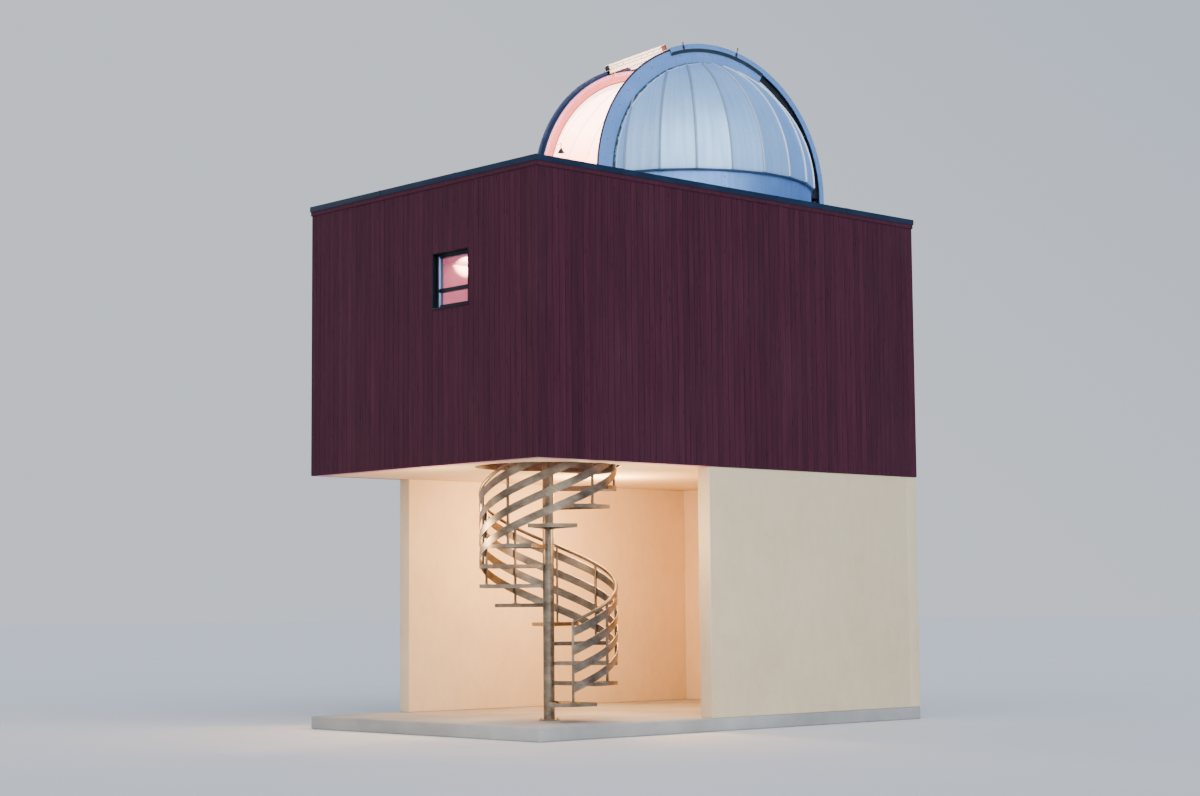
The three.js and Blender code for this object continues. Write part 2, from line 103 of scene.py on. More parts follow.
class Paint:
    # one material and the nodes it grows
    def __init__(self, name, **shader):
        self.material = bpy.data.materials.new(name)
        self.material.use_nodes = True
        self.tree = self.material.node_tree
        self.shader = self.tree.nodes["Principled BSDF"]
        for key, value in shader.items():
            self.plug(self.shader, key.replace("_", " "), value)

    def plug(self, made, key, value):
        if isinstance(value, Wire):
            self.tree.links.new(value.socket, made.inputs[key])
        else:
            made.inputs[key].default_value = value

    def node(self, kind, sockets=None, out=0, stops=(), **settings):
        made = self.tree.nodes.new(kind)
        for key, value in settings.items():
            setattr(made, key, value)
        if stops:
            setStops(made.color_ramp, stops)
        for key, value in (sockets or {}).items():
            self.plug(made, key, value)
        return Wire(self, made.outputs[out])

    def place(self, stretch=1.0, shift=None):
        # object coordinates in metres, moved, then stretched by one number or by three
        spot = self.node("ShaderNodeTexCoord", out="Object")
        if shift:
            spot = self.node("ShaderNodeVectorMath", {0: spot, 1: shift}, operation="ADD")
        scale = stretch if isinstance(stretch, tuple) else (stretch,) * 3
        return self.node("ShaderNodeMapping", {"Vector": spot, "Scale": scale})

    def domePlace(self):
        # coordinates in the dome's own frame, slot towards -Y
        spot = self.node("ShaderNodeTexCoord", out="Object")
        return self.node("ShaderNodeMapping", {"Vector": spot, "Location": hub, "Rotation": (0, 0, domeTurn)},
                         vector_type="TEXTURE")

    def tone(self):
        return self.node("ShaderNodeAttribute", out="Fac", attribute_name="tone")

    def vector(self, x=0.0, y=0.0, z=0.0):
        return self.node("ShaderNodeCombineXYZ", {0: x, 1: y, 2: z})

    def split(self, where):
        made = self.node("ShaderNodeSeparateXYZ", {0: where}).socket.node
        return [Wire(self, socket) for socket in made.outputs]

    def pattern(self, kind, where, sockets, out=0):
        # a texture over given coordinates, or over object coordinates stretched by what is given
        spot = where if isinstance(where, Wire) else self.place(where)
        return self.node(kind, {"Vector": spot, "Scale": 1.0, **sockets}, out)

    def noise(self, where, detail=4.0, rough=0.55):
        return self.pattern("ShaderNodeTexNoise", where, {"Detail": detail, "Roughness": rough})

    def cells(self, where, out="Distance"):
        return self.pattern("ShaderNodeTexVoronoi", where, {}, out)

    def fade(self, value, low, high, start=0.0, end=1.0):
        return self.node("ShaderNodeMapRange", {
            "Value": value, "From Min": low, "From Max": high, "To Min": start, "To Max": end})

    def ramp(self, value, *stops):
        return self.node("ShaderNodeValToRGB", {"Fac": value}, stops=stops)

    def mix(self, amount, first, second, kind="MIX"):
        first, second = [tint if isinstance(tint, Wire) else (*tint, 1) for tint in (first, second)]
        return self.node("ShaderNodeMix", {0: amount, 6: first, 7: second}, 2, data_type="RGBA",
                         blend_type=kind)

    def over(self, colour, tint, value, *span):
        # lays a tint over a colour, by how a value fades
        return self.mix(self.fade(value, *span), colour, tint)

    def bump(self, height, distance, strength=1.0, under=None):
        sockets = {"Height": height, "Strength": strength, "Distance": distance}
        if under:
            sockets["Normal"] = under
        return self.node("ShaderNodeBump", sockets)

    def feed(self, **wires):
        for key, wire in wires.items():
            self.plug(self.shader, key.replace("_", " "), wire)
        return self.material


def redBoards():
    # stained softwood, its own grain, knots and shade on every board
    paint = Paint("red_boards", Specular_IOR_Level=0.15)
    tone = paint.tone()
    shift = paint.vector(tone * 31.0, tone * 17.0, tone * 23.0)
    figure = paint.noise(paint.place((30, 30, 1.3), shift), 5.0, 0.6)
    fibre = paint.noise(paint.place((420, 420, 9), shift), 3.0, 0.6)
    knots = paint.cells(paint.place((14, 14, 3.4), shift))
    weather = paint.noise((0.9, 0.9, 0.5), 3.0)
    stain = paint.ramp(figure * 0.82 + tone * 0.18, (0.28, (0.036, 0.0072, 0.0155)),
                       (0.5, (0.054, 0.0100, 0.0220)), (0.72, (0.076, 0.0150, 0.0310)))
    stain = paint.over(stain, (0.022, 0.005, 0.009), fibre, 0.45, 0.75, 0.0, 0.40)
    stain = paint.over(stain, (0.013, 0.004, 0.006), knots, 0.05, 0.16, 0.75, 0.0)
    stain = paint.over(stain, (0.082, 0.028, 0.040), weather, 0.5, 0.8, 0.0, 0.25)
    rough = paint.fade(fibre, 0.3, 0.8, 0.58, 0.82)
    grain = paint.bump(fibre * 0.7 + figure * 0.3, 0.0009)
    return paint.feed(Base_Color=stain, Roughness=rough, Normal=grain)


def copingMetal():
    # dark folded sheet, dusted where water dries on it
    paint = Paint("coping_metal", Metallic=0.35, Specular_IOR_Level=0.3)
    dust = paint.noise((3.0, 3.0, 9.0), 5.0, 0.62)
    colour = paint.over((0.006, 0.017, 0.042), (0.020, 0.042, 0.085), dust, 0.45, 0.78, 0.0, 0.5)
    rough = paint.fade(dust * 0.7 + paint.noise(60, 3.0) * 0.3, 0.3, 0.7, 0.34, 0.58)
    buckle = paint.bump(paint.noise(1.6, 2.0), 0.006, 0.5)
    return paint.feed(Base_Color=colour, Roughness=rough, Normal=buckle)


slot = {"open": 0.620, "side": 0.700, "top": 1.775, "track": 1.720, "web": 1.600, "kerb": 1.620,
        "plateFoot": 1.530, "end": 118.0, "sheet": 0.004, "legFoot": -0.3047, "gap": 0.0003,
        "boltLine": 1.665, "stiffener": 1.678, "kerbFoot": 1.545, "kerbWide": 0.008, "trim": 0.0235,
        "cornerEnd": 1.498}
gore = {"count": 24, "radius": 1.705, "sheet": 0.003, "seamWidth": 0.016, "seamLift": 0.014, "rings": 96,
        "foot": 1.630, "flange": 0.006, "drip": 0.016, "lap": 0.042, "bead": 0.009, "rim": 0.004,
        "boltLine": 0.015, "footBolts": 1.683}


def galvanised(name, low, high, seal=False, metal=0.8, paintedLampTint=None, bent=False):
    # zinc coated sheet: spangle, dull rain streaks and a shade of its own on each sheet, which on the gores
    # and seams also holds painted light and shade
    paint = Paint(name, Metallic=metal, Specular_Tint=(*high, 1))
    tone = paint.tone()
    x, y, z = paint.split(paint.domePlace())
    around = y.math("ARCTAN2", x)
    if bent:
        # rain runs down the bend of a sheet that is rolled round the level axis
        run = paint.vector(x * 14.0, z.math("ARCTAN2", y) * 1.4, tone * 9.0)
    else:
        run = paint.vector(around * 26.0, z * 0.9, tone * 9.0)
    streaks = paint.noise(run, 5.0, 0.6)
    clouds = paint.noise(2.4, 4.0, 0.6)
    grit = paint.noise(90.0, 3.0)
    colour = paint.mix(tone, low, high)
    colour = paint.over(colour, [c * 0.66 for c in low], streaks, 0.42, 0.76, 0.0, 0.26)
    colour = paint.over(colour, [min(1, c * 1.12) for c in high], clouds, 0.52, 0.78, 0.0, 0.25)
    colour = paint.mix(0.07, colour, paint.cells(62.0, "Color"), "OVERLAY")
    if paintedLampTint:
        # painted lamplight: the foot of the inner side tinted warm pink, as the lamps inside light it
        colour = paint.over(colour, paintedLampTint, z + x * 0.3, -0.10, 0.70, 1.0, 0.0)
    if seal:
        # painted shade and grime beside the seams, sealant smeared along the girders and the sheet darker
        # towards its foot
        reach = (x * x + y * y).math("SQRT")
        beside = around.math("PINGPONG", math.pi / gore["count"]) * reach
        colour = paint.over(colour, (0.14, 0.19, 0.27), beside, 0.010, 0.022, 0.60, 0.0)
        smear = paint.noise(26.0, 4.0, 0.65)
        side = x.math("ABSOLUTE") + smear * 0.030 - slot["side"]
        colour = paint.over(colour, (0.035, 0.080, 0.110), side, 0.018, 0.040, 0.80, 0.0)
        colour = paint.over(colour, (0.20, 0.225, 0.25), z + smear * 0.03, 0.012, 0.06, 0.35, 0.0)
    rough = paint.fade(streaks * 0.5 + clouds * 0.3 + grit * 0.2, 0.3, 0.7, 0.34, 0.56)
    ripple = paint.bump(paint.noise((2.0, 2.0, 1.2), 2.0), 0.010, 0.35)
    return paint.feed(Base_Color=colour, Roughness=rough, Normal=paint.bump(grit, 0.0003, 0.5, ripple))


def sealant():
    # dark sealant pressed out of the joint, wide in places and wiped off in others
    paint = Paint("joint_sealant", Specular_IOR_Level=0.5)
    x = paint.split(paint.domePlace())[0]
    blobs = paint.noise(11, 5.0, 0.7)
    fine = paint.noise(70.0, 3.0)
    edge = blobs * 0.160 + slot["side"] - 0.048 - x.math("ABSOLUTE")
    cover = paint.fade(edge + fine * 0.004, 0.0, 0.006, 0.25, 1.0)
    dark = paint.mix(fine, (0.010, 0.045, 0.070), (0.030, 0.090, 0.130))
    colour = paint.mix(cover, (0.34, 0.44, 0.54), dark)
    return paint.feed(Base_Color=colour, Roughness=paint.fade(fine, 0.3, 0.7, 0.35, 0.60),
                      Normal=paint.bump(cover * 0.6 + fine * 0.4, 0.002, 0.7))


def darkMetal(name, colour, metal=0.6, shine=0.40):
    # painted or oiled dark metal with rubbed patches
    paint = Paint(name, Metallic=metal)
    wear = paint.noise(7, 5.0, 0.62)
    fine = paint.noise(140.0, 3.0)
    tint = paint.over(colour, [min(1, c * 2.1 + 0.012) for c in colour], wear, 0.48, 0.80, 0.0, 0.6)
    rough = paint.fade(wear * 0.6 + fine * 0.4, 0.3, 0.7, shine - 0.08, shine + 0.16)
    return paint.feed(Base_Color=tint, Roughness=rough, Normal=paint.bump(fine, 0.0004, 0.6))


def bronzeSteel():
    # dark patinated steel of the stair, brushed along its length
    paint = Paint("bronze_steel", Metallic=0.9)
    patina = paint.noise((5, 5, 8), 5.0, 0.62)
    brush = paint.noise((35, 35, 420), 3.0)
    colour = paint.ramp(patina, (0.30, (0.130, 0.096, 0.066)), (0.52, (0.260, 0.200, 0.138)),
                        (0.75, (0.430, 0.345, 0.245)))
    colour = paint.over(colour, (0.085, 0.064, 0.046), brush, 0.4, 0.7, 0.0, 0.35)
    rough = paint.fade(patina * 0.5 + brush * 0.5, 0.3, 0.7, 0.26, 0.46)
    return paint.feed(Base_Color=colour, Roughness=rough, Normal=paint.bump(brush, 0.0004, 0.6))


def creamPlaster(name, light, shade):
    # trowelled plaster with soft clouds
    paint = Paint(name, Specular_IOR_Level=0.25)
    clouds = paint.noise(1.1, 5.0, 0.6)
    trowel = paint.noise((9, 9, 5), 4.0, 0.6)
    colour = paint.over(light, shade, clouds * 0.6 + trowel * 0.4, 0.35, 0.68)
    relief = paint.bump(trowel, 0.0025, 0.5)
    return paint.feed(Base_Color=colour, Roughness=paint.fade(trowel, 0.3, 0.7, 0.72, 0.92),
                      Normal=paint.bump(paint.noise(260.0, 3.0), 0.0006, 0.7, relief))


def floorConcrete():
    # ground slab with fine aggregate and darker damp patches
    paint = Paint("floor_concrete", Specular_IOR_Level=0.35)
    patches = paint.noise(0.8, 5.0, 0.6)
    sand = paint.noise(180.0, 4.0)
    colour = paint.over((0.300, 0.290, 0.270), (0.440, 0.430, 0.400), patches, 0.38, 0.68)
    colour = paint.over(colour, (0.22, 0.21, 0.20), paint.cells(95.0), 0.15, 0.4, 0.25, 0.0)
    rough = paint.fade(patches * 0.5 + sand * 0.5, 0.3, 0.7, 0.62, 0.88)
    return paint.feed(Base_Color=colour, Roughness=rough, Normal=paint.bump(sand, 0.0012, 0.7))


def floorTimber():
    # floor boards and framing timber, grain along Y
    paint = Paint("floor_timber", Specular_IOR_Level=0.35)
    board = paint.split(paint.place())[0] * 8.0
    shift = paint.vector(y=board.math("FLOOR") * 5.3)
    grain = paint.noise(paint.place((34, 2.4, 34), shift), 6.0, 0.6)
    fine = paint.noise((300, 12, 300), 3.0)
    colour = paint.ramp(grain, (0.3, (0.31, 0.19, 0.10)), (0.55, (0.47, 0.31, 0.18)),
                        (0.8, (0.58, 0.42, 0.26)))
    colour = paint.over(colour, (0.05, 0.03, 0.02), board.math("PINGPONG", 0.5), 0.0, 0.02, 0.8, 0.0)
    return paint.feed(Base_Color=colour, Roughness=paint.fade(fine, 0.3, 0.7, 0.45, 0.68),
                      Normal=paint.bump(fine, 0.0006, 0.6))


def roofFelt():
    # mineral felt in one metre rolls with lapped edges
    paint = Paint("roof_felt", Specular_IOR_Level=0.3)
    lap = (paint.split(paint.place())[0] + 0.31).math("PINGPONG", 0.5)
    grains = paint.noise(420.0, 3.0)
    dirt = paint.noise(1.4, 5.0, 0.62)
    colour = paint.over((0.060, 0.063, 0.068), (0.120, 0.122, 0.122), dirt, 0.4, 0.7)
    colour = paint.over(colour, (0.20, 0.20, 0.20), grains, 0.45, 0.75, 0.0, 0.5)
    colour = paint.over(colour, (0.025, 0.025, 0.027), lap, 0.0, 0.02, 0.8, 0.0)
    edge = paint.bump(paint.fade(lap, 0.0, 0.03), 0.004)
    return paint.feed(Base_Color=colour, Roughness=paint.fade(grains, 0.3, 0.7, 0.75, 0.95),
                      Normal=paint.bump(grains, 0.0008, 0.8, edge))


def windowGlass():
    # clear pane with a little haze
    paint = Paint("window_glass", Specular_IOR_Level=0.7)
    haze = paint.noise(6)
    colour = paint.mix(haze, (0.24, 0.30, 0.36), (0.34, 0.40, 0.46))
    return paint.feed(Base_Color=colour, Roughness=paint.fade(haze, 0.3, 0.7, 0.02, 0.07),
                      Alpha=paint.fade(haze, 0.3, 0.7, 0.08, 0.14))


def darkNylon():
    # oiled runner strip, dull where it slides
    paint = Paint("dark_nylon", Specular_IOR_Level=0.4)
    rub = paint.noise(12)
    colour = paint.over((0.020, 0.022, 0.026), (0.052, 0.054, 0.058), rub, 0.4, 0.75)
    return paint.feed(Base_Color=colour, Roughness=paint.fade(rub, 0.3, 0.7, 0.45, 0.65),
                      Normal=paint.bump(rub, 0.0005, 0.5))


def studioFloor():
    paint = Paint("studio_floor", Specular_IOR_Level=0.2)
    clouds = paint.noise(0.3, 3.0)
    colour = paint.mix(clouds, (0.71, 0.70, 0.68), (0.75, 0.74, 0.72))
    return paint.feed(Base_Color=colour, Roughness=paint.fade(clouds, 0.3, 0.7, 0.8, 0.9))


def clearSelection():
    if bpy.context.object and bpy.context.object.mode != "OBJECT":
        bpy.ops.object.mode_set(mode="OBJECT")
    bpy.ops.object.select_all(action="DESELECT")


def choose(piece):
    clearSelection()
    piece.select_set(True)
    bpy.context.view_layer.objects.active = piece
    return piece


def settle(piece):
    choose(piece)
    bpy.ops.object.transform_apply(location=True, rotation=True, scale=True)
    return piece


def painted(piece, material, tone=None):
    # one finish, and the tone that varies it from part to part
    piece.data.materials.clear()
    piece.data.materials.append(material)
    if tone is not None:
        layer = piece.data.attributes.get("tone") or piece.data.attributes.new("tone", "FLOAT", "FACE")
        layer.data.foreach_set("value", [tone] * len(piece.data.polygons))
    return piece


def applied(piece, kind, **settings):
    # adds one modifier and applies it
    choose(piece)
    bpy.ops.object.modifier_add(type=kind)
    modifier = piece.modifiers[-1]
    for key, value in settings.items():
        setattr(modifier, key, value)
    bpy.ops.object.modifier_apply(modifier=modifier.name)
    return piece


def roundOff(piece, edge, segments=2, angle=30):
    if edge:
        applied(piece, "BEVEL", width=edge, segments=segments, limit_method="ANGLE",
                angle_limit=math.radians(angle))
    return piece


def carved(piece, cutter):
    applied(piece, "BOOLEAN", operation="DIFFERENCE", object=cutter, solver="EXACT")
    bpy.data.objects.remove(cutter)
    return piece


def block(low, high, edge=0.0, segments=2):
    clearSelection()
    bpy.ops.mesh.primitive_cube_add(size=1, location=[(a + b) / 2 for a, b in zip(low, high)])
    piece = bpy.context.object
    piece.scale = [b - a for a, b in zip(low, high)]
    return roundOff(settle(piece), edge, segments)


def rod(radius, start, end, sides=16, edge=0.0):
    clearSelection()
    start, end = Vector(start), Vector(end)
    span = end - start
    bpy.ops.mesh.primitive_cylinder_add(vertices=sides, radius=radius, depth=span.length,
                                        location=(start + end) / 2)
    piece = bpy.context.object
    piece.rotation_euler = span.to_track_quat("Z", "Y").to_euler()
    return roundOff(settle(piece), edge, 2, 50)


def editing(piece, action="SELECT"):
    choose(piece)
    bpy.ops.object.mode_set(mode="EDIT")
    bpy.ops.mesh.select_all(action=action)


def tidyMesh(loop=False):
    # leaves edit mode with doubles merged and every face outwards
    bpy.ops.mesh.select_all(action="SELECT")
    bpy.ops.mesh.remove_doubles(threshold=0.00005)
    if loop:
        bpy.ops.mesh.select_all(action="DESELECT")
        bpy.ops.mesh.select_interior_faces()
        bpy.ops.mesh.delete(type="FACE")
    bpy.ops.mesh.select_all(action="SELECT")
    bpy.ops.mesh.normals_make_consistent(inside=False)
    bpy.ops.object.mode_set(mode="OBJECT")


def rectangle(middle, width, depth, upright=True):
    clearSelection()
    bpy.ops.mesh.primitive_plane_add(size=1, location=middle, rotation=(math.pi / 2 if upright else 0, 0, 0))
    piece = bpy.context.object
    piece.scale = (width, depth, 1)
    return settle(piece)


def spun(section, start, axis, sweep, steps, edge):
    # turns a section to its start and carries it round an axis through the origin
    section.data.transform(start)
    editing(section)
    bpy.ops.mesh.spin(steps=steps, angle=math.radians(sweep), center=(0, 0, 0), axis=axis)
    tidyMesh(sweep == 360.0)
    return roundOff(section, edge, 1)


def swept(x0, x1, r0, r1, low, high, steps, edge=0.0):
    # bar bent round the X axis, angles in degrees up from the front
    section = rectangle(((x0 + x1) / 2, -(r0 + r1) / 2, 0), x1 - x0, r1 - r0, False)
    return spun(section, turnedBy(-low, "X"), (1, 0, 0), high - low, steps, edge)


def turned(r0, r1, z0, z1, steps=96, start=0.0, sweep=360.0, edge=0.0):
    # ring or part of one round the Z axis
    section = rectangle(((r0 + r1) / 2, 0, (z0 + z1) / 2), r1 - r0, z1 - z0)
    return spun(section, turnedBy(start), (0, 0, -1), sweep, steps, edge)


def cutAway(piece, point, normal, fill=True):
    # clears the side that the normal points to
    editing(piece)
    bpy.ops.mesh.bisect(plane_co=point, plane_no=normal, clear_outer=True, use_fill=fill)
    bpy.ops.object.mode_set(mode="OBJECT")
    return piece


def between(piece, low, high=None, fill=True):
    # keeps what lies between two x values, or past the first
    if high is not None:
        cutAway(piece, (high, 0, 0), (1, 0, 0), fill)
    return cutAway(piece, (low, 0, 0), (-1, 0, 0), fill)


def facing(piece, normal, limit=0.9):
    # enters edit mode with the faces that look one way selected
    editing(piece, "DESELECT")
    bpy.ops.object.mode_set(mode="OBJECT")
    for face in piece.data.polygons:
        face.select = face.normal.dot(Vector(normal)) > limit
    bpy.ops.object.mode_set(mode="EDIT")
    bpy.ops.mesh.select_mode(type="FACE")


def copyOf(piece, move=Matrix.Identity(4)):
    twin = piece.copy()
    twin.data = piece.data.copy()
    bpy.context.collection.objects.link(twin)
    twin.data.transform(move)
    return twin


def shifted(x, y, z):
    return Matrix.Translation((x, y, z))


def turnedBy(degrees, axis="Z"):
    return Matrix.Rotation(math.radians(degrees), 4, axis)


def around(radius, degrees, z=0.0):
    # point on a level circle
    a = math.radians(degrees)
    return Vector((radius * math.cos(a), radius * math.sin(a), z))


def bentOut(x, radius, degrees):
    # point round the level axis, degrees up from the front
    a = math.radians(degrees)
    return Vector((x, -radius * math.cos(a), radius * math.sin(a)))


def pair(side, a, b):
    # two distances from the middle as the low and high x on one side
    return sorted((side * a, side * b))


def mirrorOf(piece):
    twin = copyOf(piece)
    twin.scale.x = -1
    editing(settle(twin))
    bpy.ops.mesh.normals_make_consistent(inside=False)
    bpy.ops.object.mode_set(mode="OBJECT")
    return twin


def joined(name, pieces):
    clearSelection()
    for piece in pieces:
        piece.select_set(True)
    bpy.context.view_layer.objects.active = pieces[0]
    if len(pieces) > 1:
        bpy.ops.object.join()
    made = bpy.context.object
    made.name = name
    made.data.name = name
    return made


def finished(name, pieces, body, stands=(), angle=35, local=False):
    # joins the parts of one piece, seats it on the frame and hides the parts it stands for
    piece = joined(name, pieces)
    if local:
        piece.rotation_euler.z = domeTurn
        piece.location = hub
        settle(piece)
    choose(piece)
    bpy.ops.object.shade_smooth_by_angle(angle=math.radians(angle))
    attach(piece, body)
    if stands:
        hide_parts(*stands)
    return piece


def bothSides(name, parts, body, stands, angle=40):
    # a right-hand piece of the dome and its mirrored twin
    right = joined(name, parts)
    for side, piece in (("_right", right), ("_left", mirrorOf(right))):
        finished(name + side, [piece], body, [stands + side], angle, True)


def bolts(radius, lift, places, material):
    # low round head on a washer, modelled once and copied to each point, along its normal
    clearSelection()
    bpy.ops.mesh.primitive_uv_sphere_add(segments=8, ring_count=6, radius=radius)
    head = bpy.context.object
    head.scale.z = lift / radius
    cutAway(settle(head), (0, 0, 0), (0, 0, -1))
    first = joined("bolt", [head, rod(radius * 1.5, (0, 0, 0), (0, 0, lift * 0.28), 10)])
    made = []
    for point, normal in places:
        turn = Vector(normal).to_track_quat("Z", "Y").to_matrix().to_4x4()
        made.append(painted(copyOf(first, shifted(*point) @ turn), material))
    bpy.data.objects.remove(first)
    return made


redBoard = redBoards()
coping = copingMetal()
# the blue of the gore, girder and shutter sheets is painted sky reflection over galvanised grey
shellMetal = galvanised("gore_sheet", (0.12, 0.30, 0.74), (0.50, 0.75, 1.0), seal=True, metal=0.60)
girderMetal = galvanised("girder_sheet", (0.17, 0.34, 0.68), (0.35, 0.55, 0.94), metal=0.75)
shutterMetal = galvanised("shutter_sheet", (0.16, 0.34, 0.68), (0.36, 0.56, 0.94), metal=0.75, bent=True)
# seam sheet, near white at its high tone for painted highlights and dull at its low tone for painted shade
seamSheetPaintedLight = galvanised("seam_sheet_painted_light", (0.27, 0.35, 0.46), (0.94, 0.97, 1.0), metal=0.35)
# inner sheet, its foot tinted warm pink as painted lamplight
innerMetal = galvanised("inner_sheet", (0.76, 0.70, 0.64), (0.90, 0.85, 0.78), metal=0.10,
                        paintedLampTint=(0.66, 0.20, 0.12))
# pink of the web and of the front plate's creases is painted lamplight and painted shade
webSheetLampAndShade = galvanised("web_sheet_painted_lamplight_and_shade", (0.36, 0.085, 0.080), (0.46, 0.125, 0.115), metal=0.10)
# lilac of the stiffener is painted light, warm lamplight mixed with blue sky light
lilacSheetPaintedLight = galvanised("stiffener_sheet_painted_light", (0.32, 0.15, 0.22), (0.44, 0.22, 0.30), metal=0.2)
# cream of the shutter's front plate is painted lamplight from the slot
plateSheetLamplit = galvanised("front_sheet_painted_lamplight", (0.92, 0.84, 0.70), (1.0, 0.97, 0.88), metal=0.0)
blackMetal = darkMetal("black_metal", (0.010, 0.014, 0.022))
# dark navy for the track, and painted shade under the gores' flange and inside the girder's channel
trackAndShadeNavy = darkMetal("track_metal_and_painted_shade", (0.022, 0.046, 0.105), 0.3, 0.48)
deadBrown = darkMetal("brown_edge", (0.045, 0.020, 0.018), 0.0, 0.60)
# brown painted shade for the near end of the shutter's front plate
brownPaintedShade = darkMetal("brown_painted_shade", (0.115, 0.038, 0.018), 0.2, 0.50)
brass = darkMetal("brass", (0.40, 0.19, 0.025), 0.45, 0.36)
boltSteel = darkMetal("bolt_steel", (0.26, 0.29, 0.33), 0.85, 0.38)
railMetal = darkMetal("rail_metal", (0.030, 0.034, 0.040), 0.8)
ringSteel = darkMetal("ring_steel", (0.16, 0.165, 0.17), 0.9, 0.42)
# black for rubber, and as painted shade on the strip along the shutter skirt's lower edge
blackRubberAndShade = darkMetal("black_rubber_and_painted_shade", (0.010, 0.020, 0.028), 0.0, 0.62)
joint = sealant()
bronze = bronzeSteel()
cream = creamPlaster("cream_plaster", (0.78, 0.62, 0.40), (0.70, 0.53, 0.32))
lining = creamPlaster("pale_lining", (0.52, 0.24, 0.39), (0.44, 0.19, 0.33))
# pale blue painted skylight on the sash uprights, and dark blue painted shade inside the window
paleSashSkylight = creamPlaster("window_sash_painted_skylight", (0.40, 0.50, 0.72), (0.32, 0.42, 0.64))
darkInsidePaintedShade = creamPlaster("window_inside_painted_shade", (0.085, 0.120, 0.260), (0.070, 0.100, 0.220))
slabConcrete = floorConcrete()
timber = floorTimber()
felt = roofFelt()
glass = windowGlass()
nylon = darkNylon()
print("materials made")


def addGroundStorey():
    slab = block(*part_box("floor_slab"), 0.012, 3)
    finished("ground_slab", [painted(slab, slabConcrete)], "tower", ["floor_slab"])
    for name in ("lower_left_wall", "lower_right_wall", "lower_rear_wall"):
        wall = block(*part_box(name), 0.008, 3)
        finished(name.replace("lower", "plaster"), [painted(wall, cream)], "tower", [name])


boards = {"pitch": 0.09, "joint": 0.0035, "thick": 0.021, "arris": 0.004, "wander": 0.0014}
frieze = {"low": 6.150, "proud": 0.009, "edge": 0.003}
boarded = {"front_wall_left": ("front", "left"), "front_wall_right": ("front", "right"),
           "front_wall_sill": ("front",), "front_wall_head": ("front",), "upper_left_wall": ("left",),
           "upper_right_wall": ("right",), "upper_rear_wall": ("rear", "right", "left")}


def boardRun(start, end, low, high):
    # boards side by side, from the left end to the right end as seen from outside
    start, end = Vector((*start, 0)), Vector((*end, 0))
    run = end - start
    count = max(1, round(run.length / boards["pitch"]))
    width = run.length / count - boards["joint"]
    first = block((-width / 2, 0, low), (width / 2, boards["thick"], high), boards["arris"], 1)
    turn = Matrix.Rotation(math.atan2(run.y, run.x), 4, "Z")
    made = []
    for i in range(count):
        spot = start + run * ((i + 0.5) / count)
        sunk = shifted(0, random.uniform(0, boards["wander"]), 0)
        board = copyOf(first, shifted(spot.x, spot.y, 0) @ turn @ sunk)
        made.append(painted(board, redBoard, random.random()))
    bpy.data.objects.remove(first)
    return made


def addWalls():
    # every wall node keeps its lining inside and gets its boards outside
    for name, faces in boarded.items():
        low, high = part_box(name)
        core = {"left": low.x, "front": low.y, "right": high.x, "rear": high.y}
        for face in faces:
            core[face] += boards["thick"] if face in ("left", "front") else -boards["thick"]
        runs = {"front": ((low.x, low.y), (high.x, low.y)),
                "rear": ((high.x, high.y), (low.x, high.y)),
                "left": ((low.x, core["rear"]), (low.x, core["front"])),
                "right": ((high.x, core["front"]), (high.x, core["rear"]))}
        wall = block((core["left"], core["front"], low.z), (core["right"], core["rear"], high.z), 0.003, 1)
        parts = [painted(wall, lining, 0.5)]
        for face in faces:
            parts += boardRun(*runs[face], low.z, high.z)
        finished(name.replace("wall", "boards"), parts, "tower", [name], 20)
    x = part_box("upper_right_wall")[1].x
    y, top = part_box("upper_rear_wall")[1].y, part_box("upper_rear_wall")[1].z
    out = frieze["proud"]
    strips = [((-x - out, -y - out), (x + out, -y)), ((-x - out, y), (x + out, y + out)),
              ((-x - out, -y), (-x, y)), ((x, -y), (x + out, y))]
    parts = [painted(block((*low, frieze["low"]), (*high, top), frieze["edge"]), redBoard, 0.70)
             for low, high in strips]
    finished("frieze_boards", parts, "tower", angle=20)


cap = {"face": 0.018, "inside": 0.155, "sheet": 0.003, "drop": 0.065, "hem": 0.0035, "edge": 0.0012,
       "cover": 0.055, "coverLift": 0.0016, "spacing": 1.35, "clear": 0.004}


def copingSide(length, top):
    # folded cap along X with hemmed edges, seam covers and mitred ends
    half = length / 2
    low = top - cap["drop"] + cap["hem"]
    outer, inside, sheet, hem, lift = -cap["face"], cap["inside"], cap["sheet"], cap["hem"], cap["coverLift"]
    parts = [block((-half, outer, top - sheet), (half, inside, top), cap["edge"])]
    for y, inwards in ((outer, 1), (inside, -1)):
        y0, y1 = sorted((y, y + inwards * sheet))
        parts.append(block((-half, y0, low), (half, y1, top - sheet / 2), cap["edge"]))
        line = y + inwards * hem
        parts.append(rod(hem, (-half, line, low), (half, line, low), 10))
    count = max(1, round(length / cap["spacing"]))
    for i in range(1, count):
        x = -half + length * i / count
        x0, x1 = x - cap["cover"] / 2, x + cap["cover"] / 2
        for y0, y1, z in ((outer - lift, inside + lift, top), (outer - lift, outer, low),
                          (inside, inside + lift, low)):
            parts.append(block((x0, y0, z), (x1, y1, top + lift), 0.0005))
    for part in parts:
        cutAway(part, (half, outer, 0), (1, 1, 0))
        cutAway(part, (-half, outer, 0), (-1, 1, 0))
    return parts


